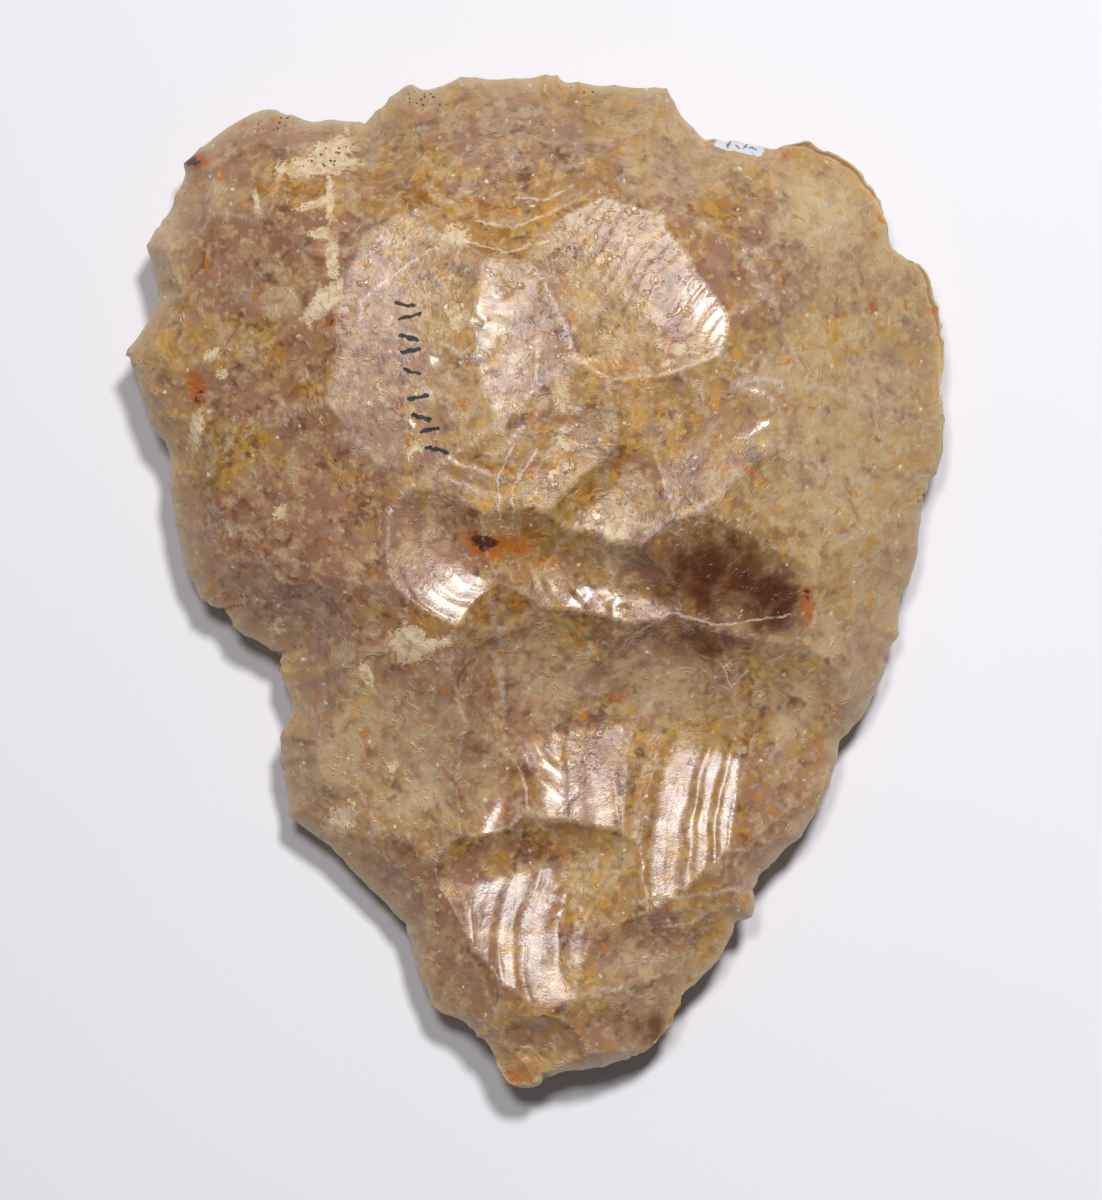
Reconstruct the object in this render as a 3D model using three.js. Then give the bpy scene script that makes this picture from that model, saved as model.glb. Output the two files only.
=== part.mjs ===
import * as THREE from "three";

// A flint hand axe lying on its flatter face: millimetres, +Z up, tip towards -Y, butt towards +Y.
// Both faces are low domes cut by flake scars: shallow bowls, and on the blade broad scars with a
// nearly flat floor. On the upper face the stone keeps what lies below every scar, on the underside
// what lies above, so scars meet in ridges.

const edgeHeight = 7.6; // mean height of the cutting edge above the ground
const edgeWaves = [
  // rise and fall of the edge along the outline: height, waves in one turn, start
  [0.8, 3, 0.1],
  [0.5, 7, 0.35],
  [0.25, 23, 0.7],
];
const domeFoot = 8.8; // height at which the upper dome meets the sides
const domeRise = 15.2; // height of the crown above that foot
const domeShoulder = 2.2; // power of the cross-section: higher is flatter on top, steeper at the sides
const crownY = 6; // where the stone is thickest
const buttReach = 50; // from the crown to the butt
const tipReach = 60; // from the crown to the tip
const buttFallPower = 3; // how late the fall towards the butt sets in
const tipTable = 0.68; // share of the fall that is done before the blade flattens towards its tip
const tipDrop = 4; // how sharply the face falls from the crown to the blade
const tipFallPower = 8; // how late the rest of the fall sets in, at the very tip
const uncutRise = 0.3; // how far unflaked stone stands above the dome
const bellyLow = -1.2; // the lower dome's lowest point, which the resting facet cuts off at zero
const bellyRise = 7.4; // from there up to the edge
const bellyPower = 2.2;
const bellyY = 4;
const bodyHalfWidth = 43; // half width of the body at its widest
const widestY = 20;
const buttTaper = 36; // from there to where the sides would close at the butt
const bladeTaper = 78; // and at the tip
const bladeTaperPower = 1.07;
const narrowest = 0.02; // smallest half width, as a share of the widest
const middleStart = 1.2; // where the middle line crosses y = 0
const middleDrift = -0.055; // its drift along the blade, per millimetre
const middleDriftEnd = -30; // the y below which it runs straight
const buttBendY = 22; // above this it bends over to the left
const buttDrift = -0.135;
const retouchSlope = 1.25; // steepness of the trimmed band along the edge, upper face
const retouchSlopeUnder = 1.2; // the same on the underside
const retouchStep = 0.55; // the blunt first step up from the edge
const retouchStepWidth = 0.3;

const rings = 22; // rings of the surface net, from the middle to the edge
const ringCrowding = 1.25; // over 1 brings the rings closer together near the edge
const netMiddle = new THREE.Vector2(0, 2.2);
const longestSnap = 0.45; // how far a point may move onto a ridge, as a share of the way to its neighbour

// Corners between the chips of the outline, counter-clockwise from the tip as seen from above:
// x, y and how far the arc to the next corner bulges out (+) or is bitten in (-).
const outlineCorners = [
  // tip
  [-2.5, -53.0, 0.1], [-0.6, -53.2, 0.2], [0.9, -52.2, -0.1], [6.3, -51.1, 0.2], [9.9, -50.1, 0.3],
  // right side, up to the shoulder
  [12.8, -48.1, 0.3], [15.4, -43.7, -0.1], [18.2, -40.9, 0.2], [20.4, -37.4, 0], [20.9, -36.0, 0],
  [22.5, -35.3, 0.3], [22.6, -32.4, -0.1], [25.4, -29.0, -0.2], [27.8, -27.0, 0.1], [30.0, -23.1, 0.2],
  [32.1, -16.9, -0.1], [34.0, -14.8, 0.1], [36.7, -9.2, -0.1], [37.2, -7.0, 0.1], [38.1, -5.5, -0.1],
  [38.3, -1.7, 0.2], [40.0, 2.3, -0.2], [40.9, 9.0, 0.3], [42.8, 14.8, 0.2], [42.4, 19.8, 0.2],
  [42.7, 25.5, 0.3], [41.4, 31.0, 0.3], [40.2, 33.3, -0.2], [37.4, 35.0, -0.2], [36.9, 37.6, 0.3],
  // butt, with the square notch beside its right corner
  [34.4, 42.4, 0.4], [30.2, 45.2, 0.1], [28.2, 46.3, 0.2], [25.4, 45.4, -0.1], [21.8, 45.9, 0.2],
  [17.7, 46.4, -0.4], [13.7, 51.8, -0.1], [5.4, 52.5, -0.1], [2.7, 52.8, 0.2], [1.0, 53.4, -0.1],
  [-1.0, 52.8, 0], [-8.0, 53.0, -0.1], [-11.1, 51.7, -0.2], [-13.1, 52.2, 0.2], [-14.3, 51.9, 0.1],
  [-18.1, 48.1, 0.1], [-21.4, 48.7, -0.2], [-24.5, 48.4, 0.1], [-27.4, 49.5, 0.2], [-29.3, 49.4, 0.2],
  [-33.8, 46.7, 0.1], [-36.8, 44.3, 0.2],
  // left side, down over the projecting shoulder and the two deep bites
  [-37.2, 42.9, -0.2], [-39.5, 37.6, 0.1], [-41.1, 35.2, -0.2], [-39.8, 30.6, -0.2], [-40.5, 27.9, -0.2],
  [-42.9, 24.5, 0.3], [-42.7, 23.0, -0.1], [-40.8, 17.2, 0.2], [-39.0, 14.5, -0.2], [-38.7, 9.8, 0.1],
  [-36.8, 0.9, -0.2], [-35.4, -2.0, 0.2], [-33.0, -3.0, -0.2], [-32.0, -4.9, 0.1], [-27.0, -7.8, 0.2],
  [-26.9, -10.4, -0.2], [-25.7, -13.2, -0.2], [-27.2, -16.4, 0], [-27.1, -18.8, -0.1], [-26.2, -24.0, 0.3],
  [-25.4, -25.3, 0], [-21.7, -27.9, 0.1], [-18.2, -31.7, 0.1], [-13.9, -36.0, 0.2], [-11.4, -43.7, 0.3],
  [-9.8, -45.5, -0.1], [-7.3, -46.6, 0.2], [-5.7, -48.2, -0.1], [-3.8, -51.7, 0.3],
];

// Flake scars of the upper face: middle x, y, half length, half width, turn in degrees, depth,
// and for some a lean of the whole bowl along x and y.
const upperScars = [
  // butt edge, left to right
  [-31.5, 42.5, 7.8, 5.4, 34, 0.72],
  [-22.5, 43, 7.8, 6.4, -70, 0.78],
  [-11, 47.5, 7.8, 6.4, -80, 0.78],
  [0.5, 47.5, 9, 6.4, -90, 0.78],
  [11, 47.5, 8.4, 6, -100, 0.84],
  [19, 39.5, 9, 5.8, -35, 1.14, -0.1, -0.12],
  [28, 37.5, 11, 9.4, -130, 1.14, -0.1, -0.08],
  [35, 40.5, 5.2, 2.8, -55, 0.84, -0.1, -0.1],
  // right side, downwards
  [32, 26, 13.6, 10.4, -60, 1.44, -0.2, -0.1],
  [38.5, 29.5, 6.4, 2.6, -70, 0.84, -0.1, -0.1],
  [40.5, 21, 4.2, 2, -80, 0.84, -0.1, 0],
  [33, 13, 10.4, 7.6, 170, 1.08, -0.1, 0],
  [38.5, 8, 6.4, 3.6, -100, 0.78, -0.1, 0],
  [31.5, -2, 4.2, 7.4, -10, 0.9, -0.05, 0],
  [35, -2, 8.2, 6.6, 150, 1.08, -0.1, 0],
  [33, -11.5, 6.4, 4.8, 150, 0.96, -0.1, 0],
  [27.5, -13.5, 4, 6, -22, 1.44, -0.05, 0],
  [27, -23, 5.4, 9, -35, 1.14, -0.12, 0],
  // left side, downwards
  [-33, 30.5, 11.6, 8.2, -60, 0.96],
  [-31.5, 19, 12, 6.4, 35, 0.9],
  [-24, 9, 14.8, 8.4, -12, 1.02],
  [-33, 2, 7.4, 9, 80, 0.78],
  [-24, -4.5, 9.4, 5.8, -20, 0.78],
  [-21.5, -12.5, 7.8, 6.4, 10, 0.78],
  [-14.5, -16.5, 11.6, 7.8, -50, 1.02],
  [-22.5, -26, 4.8, 4.2, -20, 0.72],
  [-16, -31.5, 5, 3, -45, 0.66],
  [-12, -38.5, 5.2, 10, 12, 1.2, 0.05, 0],
  [-8, -44, 3.8, 4.8, -30, 0.72, 0.05, 0],
  // crown, above the middle
  [-3, 40.5, 9.5, 7, 0, 0.9],
  [-14, 21, 8.5, 15, -8, 1, -0.06, 0],
  [-3.5, 27, 7.5, 8, 5, 0.9, 0, 0.08],
  [4.5, 16, 6.5, 9.5, 0, 0.85, 0.05, 0.08],
  [15, 14.5, 9.5, 8, -10, 0.95],
  [-6, 8.5, 8, 7, -6, 0.8],
  [7.5, 7.5, 7.5, 5.5, 0, 0.7],
  [24, 7, 8.5, 6, -20, 0.95, -0.05, 0],
  // waist of the face
  [18.5, -1, 12.8, 7.8, -8, 1.74],
  [-7, -1.5, 8.5, 7, -30, 1.2],
  [0, -10.5, 5.4, 6.8, -30, 0.9],
  // tip
  [16, -40, 7.4, 4, 25, 0.9],
  [12, -44.5, 8.2, 5.4, 12, 1.44],
  [-2, -50.5, 3.4, 2.8, 0, 0.84],
].map(([x, y, along, across, turn, depth, leanX = 0, leanY = 0]) => ({
  x, y, along, across, depth, leanX, leanY,
  cos: Math.cos((turn * Math.PI) / 180),
  sin: Math.sin((turn * Math.PI) / 180),
}));

// Broad scars with a nearly flat floor: middle x, y, turn in degrees, height there, how far the
// floor falls per millimetre along x and y, then the distances to its right, left, upper and lower
// side at which it has risen by one millimetre.
const floorScars = [
  // hollows of the blade
  [15.5, -18, -13, 11.3, 0.04, 0.1, 12, 6, 4.5, 28],
  [21.5, -19, -9, 11.4, 0.35, 0.06, 30, 30, 5, 30],
  [5, -16, 10, 12.1, 0.03, 0.09, 9, 6, 4.5, 28],
  [0, -18, 20, 12.5, 0.02, 0.09, 6, 3, 4.5, 22],
  [-4.2, -24, -16, 13, 0.03, 0.12, 3.2, 3.2, 5, 7],
  [-1, -27.6, 25, 12.9, 0.03, 0.12, 4, 4, 2.4, 4],
  // towards the tip
  [-3, -31.5, 4, 11.4, 0.05, 0.08, 7, 5, 2.4, 50],
  [12, -40, -10, 10.5, 0.2, 0, 14, 10, 3.2, 16],
  [17, -35.4, 8, 11.5, 0.06, 0.1, 12, 12, 1.2, 3],
  [-1, -50, 0, 9.4, 0, -0.1, 5, 5, 3, 20],
  // crown and waist
  [13, 31.5, 40, 19.8, 0.06, 0.15, 10, 9, 24, 14],
  [17.5, 30.5, 0, 19.9, 0.28, 0.34, 20, 20, 20, 20],
  [5.5, -2.5, -20, 19.4, 0.04, 0.13, 5, 4, 3.5, 6],
].map(([x, y, turn, height, fallX, fallY, right, left, up, down]) => ({
  x, y, height, fallX, fallY, right, left, up, down,
  cos: Math.cos((turn * Math.PI) / 180),
  sin: Math.sin((turn * Math.PI) / 180),
}));

// The underside is plainer: two rounds of scars struck inwards from the edge all the way about.
const lowerRounds = [
  // scars in the round, first one's place, how far out, half length as a share of that, half width,
  // depth, and how unevenly they are spread
  { count: 12, start: 0, out: 0.7, reach: 0.4, across: 10, depth: 0.6, uneven: 0.35 },
  { count: 12, start: 0.5, out: 0.9, reach: 0.17, across: 6.5, depth: 0.55, uneven: 0.3 },
];
// Their places, widths and depths vary as sines of the scar's number.
const placeWave = 2.3;
const widthWave = 3.1;
const widthVariation = 0.15;
const depthWave = 1.9;
const depthVariation = 0.25;

// Samples shared out over the arcs by length, with more where an arc bulges; at least one each.
function outlineSamples(total) {
  const arcs = outlineCorners.map(([x, y, bow], i) => {
    const [nextX, nextY] = outlineCorners[(i + 1) % outlineCorners.length];
    const length = Math.hypot(nextX - x, nextY - y);
    return { x, y, dx: nextX - x, dy: nextY - y, bow, length, want: length + 6 * Math.abs(bow), count: 1 };
  });
  for (let spare = total - arcs.length; spare > 0; spare--) {
    const widest = arcs.reduce((a, b) => (b.want / b.count > a.want / a.count ? b : a));
    widest.count++;
  }
  return arcs.flatMap(({ x, y, dx, dy, bow, length, count }) =>
    Array.from({ length: count }, (_, k) => {
      const t = k / count;
      const out = (4 * bow * t * (1 - t)) / length;
      return new THREE.Vector2(x + dx * t + dy * out, y + dy * t - dx * out);
    }),
  );
}

const rimCount = 8 * rings;
const rim = outlineSamples(rimCount);
const rimBox = new THREE.Box2().setFromPoints(rim);
const rimShift = rimBox.getCenter(new THREE.Vector2());
rim.forEach((point) => point.sub(rimShift));

function edgeHeightAt(turn) {
  const wave = ([height, count, start]) => height * Math.sin(2 * Math.PI * (count * turn + start));
  return edgeHeight + edgeWaves.map(wave).reduce((a, b) => a + b);
}

// A point of the outline by its share of the way round, straight between samples.
function rimPoint(turn) {
  const place = turn * rimCount;
  const index = Math.floor(place);
  const from = rim[index % rimCount];
  return from.clone().lerp(rim[(index + 1) % rimCount], place - index);
}

// Distance from a point to the outline, and the edge's height at the nearest place.
function nearestEdge(x, y) {
  let best = { distance: Infinity, height: 0 };
  rim.forEach((from, i) => {
    const to = rim[(i + 1) % rimCount];
    const dx = to.x - from.x;
    const dy = to.y - from.y;
    const along = ((x - from.x) * dx + (y - from.y) * dy) / (dx * dx + dy * dy);
    const t = THREE.MathUtils.clamp(along, 0, 1);
    const distance = Math.hypot(x - from.x - t * dx, y - from.y - t * dy);
    if (distance < best.distance) best = { distance, height: edgeHeightAt((i + t) / rimCount) };
  });
  return best;
}

// Half width of the body and its middle line, as functions of y.
function halfWidthAt(y) {
  const out = y - widestY;
  if (out > 0) return bodyHalfWidth * Math.max(1 - (out / buttTaper) ** 4, narrowest);
  return bodyHalfWidth * Math.max(1 - (out / bladeTaper) ** 2, narrowest) ** bladeTaperPower;
}

function middleAt(y) {
  if (y > buttBendY) return buttDrift * (y - buttBendY);
  return middleStart + middleDrift * Math.max(y, middleDriftEnd);
}

// The fall from the crown towards butt and tip, from 0 to 1.
function fallAt(y) {
  if (y > crownY) return ((y - crownY) / buttReach) ** buttFallPower;
  const t = Math.min((crownY - y) / tipReach, 1);
  const toBlade = 1 - (1 - t) ** tipDrop * (1 + tipDrop * t);
  return tipTable * toBlade + (1 - tipTable) * t ** tipFallPower;
}

function upperDome(x, y) {
  const across = Math.abs(x - middleAt(y)) / halfWidthAt(y);
  return domeFoot + domeRise * (1 - fallAt(y)) * (1 - across ** domeShoulder);
}

function lowerDome(x, y) {
  const across = Math.abs(x - middleAt(y)) / halfWidthAt(y);
  const along = Math.abs(y - bellyY) / (y > bellyY ? buttReach : tipReach);
  return bellyLow + bellyRise * (1 - (1 - along ** bellyPower) * (1 - across ** bellyPower));
}

// A scar's bowl, as a height over the dome: minus its depth in the middle, zero on its own outline.
function bowl(scar, x, y) {
  const dx = x - scar.x;
  const dy = y - scar.y;
  const u = (dx * scar.cos + dy * scar.sin) / scar.along;
  const v = (dy * scar.cos - dx * scar.sin) / scar.across;
  return scar.depth * (u * u + v * v - 1) + scar.leanX * dx + scar.leanY * dy;
}

// A flat-floored scar, as a height above the ground: its tilted floor plus sides that curve up.
function floorHeight(scar, x, y) {
  const dx = x - scar.x;
  const dy = y - scar.y;
  const u = dx * scar.cos + dy * scar.sin;
  const v = dy * scar.cos - dx * scar.sin;
  const sides = (u / (u > 0 ? scar.right : scar.left)) ** 2 + (v / (v > 0 ? scar.up : scar.down)) ** 2;
  return scar.height - scar.fallX * dx - scar.fallY * dy + sides;
}

const lowerScars = lowerRounds.flatMap(({ count, start, out, reach, across, depth, uneven }) =>
  Array.from({ length: count }, (_, k) => {
    const place = k + start + uneven * Math.sin(placeWave * k);
    const ray = rimPoint((place / count + 1) % 1).sub(netMiddle);
    const along = ray.length();
    return {
      x: netMiddle.x + ray.x * out,
      y: netMiddle.y + ray.y * out,
      along: along * reach,
      across: across * (1 + widthVariation * Math.sin(widthWave * k)),
      depth: depth * (1 + depthVariation * Math.sin(depthWave * k + 1)),
      leanX: 0,
      leanY: 0,
      cos: ray.x / along,
      sin: ray.y / along,
    };
  }),
);

// Rise of the trimmed band above the edge at a distance from it.
function retouch(distance, slope) {
  return slope * distance + retouchStep * (1 - Math.exp(-distance / retouchStepWidth));
}

// Every surface that bounds a face at a point, as candidate heights; the lowest one is the stone's.
function upperSheets(x, y) {
  const dome = upperDome(x, y);
  const edge = nearestEdge(x, y);
  const band = edge.height + retouch(edge.distance, retouchSlope);
  const bowls = upperScars.map((scar) => dome + bowl(scar, x, y));
  const floors = floorScars.map((scar) => floorHeight(scar, x, y));
  return [band, dome + uncutRise, ...bowls, ...floors];
}

// The same for the underside, turned over so that the lowest candidate still wins.
function lowerSheets(x, y) {
  const dome = lowerDome(x, y);
  const edge = nearestEdge(x, y);
  const band = edge.height - retouch(edge.distance, retouchSlopeUnder);
  const resting = 0;
  return [-band, -resting, -dome, ...lowerScars.map((scar) => bowl(scar, x, y) - dome)];
}

const lowest = (values) => values.indexOf(Math.min(...values));

// Ring number and share of the way round for a place in a square grid whose rings are squares.
function ringPlace(a, b) {
  const k = Math.max(Math.abs(a), Math.abs(b));
  if (k === 0) return { ring: 0, turn: 0 };
  let step = 7 * k + a;
  if (a === -k) step = 5 * k - b;
  if (b === k) step = 3 * k - a;
  if (a === k) step = b + k;
  return { ring: k, turn: step / (8 * k) };
}

const side = 2 * rings + 1;
const gridIndex = (a, b) => (a + rings) * side + (b + rings);

// One face: the net's points are moved onto ridges where two sheets cross, then lifted to height.
function buildFace(sheets, sign) {
  const points = [];
  for (let a = -rings; a <= rings; a++) {
    for (let b = -rings; b <= rings; b++) {
      const { ring, turn } = ringPlace(a, b);
      const scale = 1 - (1 - ring / rings) ** ringCrowding;
      const place = rimPoint(turn).sub(netMiddle).multiplyScalar(scale).add(netMiddle);
      points.push({ place, ring, turn, moved: place, share: longestSnap });
    }
  }
  const inner = points.filter((point) => point.ring < rings);
  inner.forEach((point) => {
    point.heights = sheets(point.place.x, point.place.y);
    point.winner = lowest(point.heights);
  });
  for (let a = -rings; a < rings; a++) {
    for (let b = -rings; b < rings; b++) {
      snap(points[gridIndex(a, b)], points[gridIndex(a + 1, b)]);
      snap(points[gridIndex(a, b)], points[gridIndex(a, b + 1)]);
    }
  }
  points.forEach((point) => {
    const { x, y } = point.moved;
    const height = point.ring < rings ? sign * Math.min(...sheets(x, y)) : edgeHeightAt(point.turn);
    point.position = new THREE.Vector3(x, y, height);
  });
  return points;
}

// Where the lowest sheet changes between two neighbours, the nearer one moves to the crossing.
function snap(from, to) {
  if (!from.heights || !to.heights || from.winner === to.winner) return;
  const gapFrom = from.heights[to.winner] - from.heights[from.winner];
  const gapTo = to.heights[from.winner] - to.heights[to.winner];
  const t = gapFrom / (gapFrom + gapTo);
  const [point, share] = t < 0.5 ? [from, t] : [to, 1 - t];
  if (share >= point.share) return;
  point.share = share;
  point.moved = from.place.clone().lerp(to.place, t);
}

// Each cell is split along the diagonal whose middle lies nearer to the true surface.
function faceTriangles(points, sheets, sign) {
  const triangles = [];
  for (let a = -rings; a < rings; a++) {
    for (let b = -rings; b < rings; b++) {
      const corners = [
        gridIndex(a, b),
        gridIndex(a + 1, b),
        gridIndex(a + 1, b + 1),
        gridIndex(a, b + 1),
      ];
      const [p, q, r, s] = corners.map((i) => points[i].position);
      const middle = new THREE.Vector3().add(p).add(q).add(r).add(s).multiplyScalar(0.25);
      const height = sign * Math.min(...sheets(middle.x, middle.y));
      const missForward = Math.abs((p.z + r.z) / 2 - height);
      const missBack = Math.abs((q.z + s.z) / 2 - height);
      const onForward = a === b;
      const onBack = a + b + 1 === 0;
      const forward = onForward || (!onBack && missForward < missBack);
      const [i, j, k, l] = corners;
      triangles.push(...(forward ? [[i, j, k], [i, k, l]] : [[i, j, l], [j, k, l]]));
    }
  }
  return triangles;
}

// Both faces share the points of the edge, so the two nets close into one solid.
function handAxeGeometry() {
  const upper = buildFace(upperSheets, 1);
  const lower = buildFace(lowerSheets, -1);
  const positions = upper.map((point) => point.position);
  const lowerIndex = lower.map((point, i) => (point.ring < rings ? positions.push(point.position) - 1 : i));
  const upperTriangles = faceTriangles(upper, upperSheets, 1);
  const lowerTriangles = faceTriangles(lower, lowerSheets, -1);
  const turnedOver = lowerTriangles.map(([i, j, k]) => [lowerIndex[i], lowerIndex[k], lowerIndex[j]]);
  const geometry = new THREE.BufferGeometry().setFromPoints(positions);
  geometry.setIndex([...upperTriangles, ...turnedOver].flat());
  geometry.computeVertexNormals();
  return geometry;
}

const flint = new THREE.MeshStandardMaterial({
  color: 0xa58a6a,
  roughness: 0.35,
  metalness: 0,
  flatShading: true,
});
const handAxe = new THREE.Mesh(handAxeGeometry(), flint);
handAxe.name = "hand_axe";

const part = new THREE.Group();
part.add(handAxe);

export default part;
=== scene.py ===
import math

import bpy
import numpy as np
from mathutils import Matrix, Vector


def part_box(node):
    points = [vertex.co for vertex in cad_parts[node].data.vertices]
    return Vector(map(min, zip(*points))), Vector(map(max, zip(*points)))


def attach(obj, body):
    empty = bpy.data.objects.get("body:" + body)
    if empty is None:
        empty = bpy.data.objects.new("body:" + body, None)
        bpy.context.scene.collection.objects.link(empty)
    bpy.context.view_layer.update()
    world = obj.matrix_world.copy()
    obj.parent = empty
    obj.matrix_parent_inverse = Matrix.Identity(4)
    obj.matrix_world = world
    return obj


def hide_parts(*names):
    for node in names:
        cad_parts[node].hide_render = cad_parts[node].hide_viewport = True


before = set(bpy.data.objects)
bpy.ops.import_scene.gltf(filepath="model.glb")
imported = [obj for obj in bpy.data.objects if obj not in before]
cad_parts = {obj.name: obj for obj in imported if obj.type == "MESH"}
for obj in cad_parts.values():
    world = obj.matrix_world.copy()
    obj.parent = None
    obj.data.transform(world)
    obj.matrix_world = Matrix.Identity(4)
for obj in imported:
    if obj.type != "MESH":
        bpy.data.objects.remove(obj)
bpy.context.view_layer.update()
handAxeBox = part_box("hand_axe")
millimetre = 0.001
scene = bpy.context.scene
print("frame loaded")


# The stone's shape is worked out in millimetres.

stone = {
    "edgeHeight": 7.6,  # mean height of the cutting edge above the ground
    "edgeWaves": [(0.8, 3, 0.1), (0.5, 7, 0.35), (0.25, 23, 0.7)],  # height, waves in a turn, start
    "domeFoot": 8.8,
    "domeRise": 15.2,
    "domeShoulder": 2.2,
    "crownY": 6,
    "buttReach": 50,
    "tipReach": 60,
    "tipTable": 0.68,
    "tipDrop": 4,  # how sharply the face falls from the crown to the blade
    "buttFallPower": 3,  # how late the fall towards the butt sets in
    "tipFallPower": 8,  # how late the rest of the fall sets in, at the very tip
    "uncutRise": 0.3,
    "bodyHalfWidth": 43,
    "widestY": 20,
    "buttTaper": 36,
    "buttTaperPower": 4,
    "bladeTaper": 78,
    "bladeTaperPower": 1.07,
    "narrowest": 0.02,
    "middleStart": 1.2,
    "middleDrift": -0.055,
    "middleDriftEnd": -30,
    "buttBendY": 22,
    "buttDrift": -0.135,
    "bellyLow": -1.2,
    "bellyRise": 7.4,
    "bellyPower": 2.2,
    "bellyY": 4,
    "retouchSlope": 1.25,
    "retouchSlopeUnder": 1.2,
    "retouchStep": 0.55,
    "retouchStepWidth": 0.3,
    "rings": 138,  # rings of the upper surface net; the underside has half as many
    "ringCrowding": 1.25,
    "netMiddle": (0, 2.2),
    "chipLength": 2.4,  # mean length of the small chips along the edge
    "chipDepth": 0.32,
    "fluteDepth": 0.55,  # how hollow the trimmed band is behind each chip
    "snapReach": 0.45,  # how far a net point may move onto a ridge, as a share of its cell
    "wander": [(7, 0.3, 11), (2.2, 0.07, 12)],  # size, reach and seed of the unevenness of ridges
    "swell": [(9, 0.09, 21), (3.1, 0.035, 22), (1.2, 0.012, 23)],  # size, height, seed
    "swellFade": 1.5,  # distance from the edge at which swell and dents have their full height
    "rippleWander": [(8, 0.9, 41), (2.6, 0.25, 42)],  # size, reach and seed
    "rippleOvertone": 0.35,  # height of a second wave, twice as fine
    "ripplePace": (1.1, 2.7),  # how far the spacing drifts, and over how many radians
    "rippleStrength": (0.75, 0.5, 6, 43),  # mean, variation, size and seed
    "plainRipple": (1.9, 0.012),  # spacing and height where a row below gives none
    "dentSpread": 0.5,  # how a crushed place's dents scatter, as a share of its reach
    "dentLength": (0.6, 1.5),  # shares of the place's size
    "dentWidth": (0.45, 0.9),  # shares of the dent's length
    "dentDepth": (0.5, 1.2),  # shares of the place's depth
    "dentSlope": 0.6,
    # painted light: within this distance of the edge the stone is painted paler, as if light shone through it
    "edgeGlowReach": 2.2,  # distance from the edge over which the stone looks thin
    "ridgeWidth": 0.05,
    "ridgeFromEdge": 0.3,
}

# Corners between the chips of the outline: x, y and how far the arc to the next corner bulges.
outlineCorners = [
    (-2.5, -53, 0.1), (-0.6, -53.2, 0.2), (0.9, -52.2, -0.1), (6.3, -51.1, 0.2), (9.9, -50.1, 0.3),
    (12.8, -48.1, 0.3), (15.4, -43.7, -0.1), (18.2, -40.9, 0.2), (20.4, -37.4, 0), (20.9, -36, 0),
    (22.5, -35.3, 0.3), (22.6, -32.4, -0.1), (25.4, -29, -0.2), (27.8, -27, 0.1), (30, -23.1, 0.2),
    (32.1, -16.9, -0.1), (34, -14.8, 0.1), (36.7, -9.2, -0.1), (37.2, -7, 0.1), (38.1, -5.5, -0.1),
    (38.3, -1.7, 0.2), (40, 2.3, -0.2), (40.9, 9, 0.3), (42.8, 14.8, 0.2), (42.4, 19.8, 0.2),
    (42.7, 25.5, 0.3), (41.4, 31, 0.3), (40.2, 33.3, -0.2), (37.4, 35, -0.2), (36.9, 37.6, 0.3),
    (34.4, 42.4, 0.4), (30.2, 45.2, 0.1), (28.2, 46.3, 0.2), (25.4, 45.4, -0.1), (21.8, 45.9, 0.2),
    (17.7, 46.4, -0.4), (13.7, 51.8, -0.1), (5.4, 52.5, -0.1), (2.7, 52.8, 0.2), (1, 53.4, -0.1),
    (-1, 52.8, 0), (-8, 53, -0.1), (-11.1, 51.7, -0.2), (-13.1, 52.2, 0.2), (-14.3, 51.9, 0.1),
    (-18.1, 48.1, 0.1), (-21.4, 48.7, -0.2), (-24.5, 48.4, 0.1), (-27.4, 49.5, 0.2),
    (-29.3, 49.4, 0.2), (-33.8, 46.7, 0.1), (-36.8, 44.3, 0.2), (-37.2, 42.9, -0.2),
    (-39.5, 37.6, 0.1), (-41.1, 35.2, -0.2), (-39.8, 30.6, -0.2), (-40.5, 27.9, -0.2),
    (-42.9, 24.5, 0.3), (-42.7, 23, -0.1), (-40.8, 17.2, 0.2), (-39, 14.5, -0.2), (-38.7, 9.8, 0.1),
    (-36.8, 0.9, -0.2), (-35.4, -2, 0.2), (-33, -3, -0.2), (-32, -4.9, 0.1), (-27, -7.8, 0.2),
    (-26.9, -10.4, -0.2), (-25.7, -13.2, -0.2), (-27.2, -16.4, 0), (-27.1, -18.8, -0.1),
    (-26.2, -24, 0.3), (-25.4, -25.3, 0), (-21.7, -27.9, 0.1), (-18.2, -31.7, 0.1),
    (-13.9, -36, 0.2), (-11.4, -43.7, 0.3), (-9.8, -45.5, -0.1), (-7.3, -46.6, 0.2),
    (-5.7, -48.2, -0.1), (-3.8, -51.7, 0.3),
]

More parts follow.
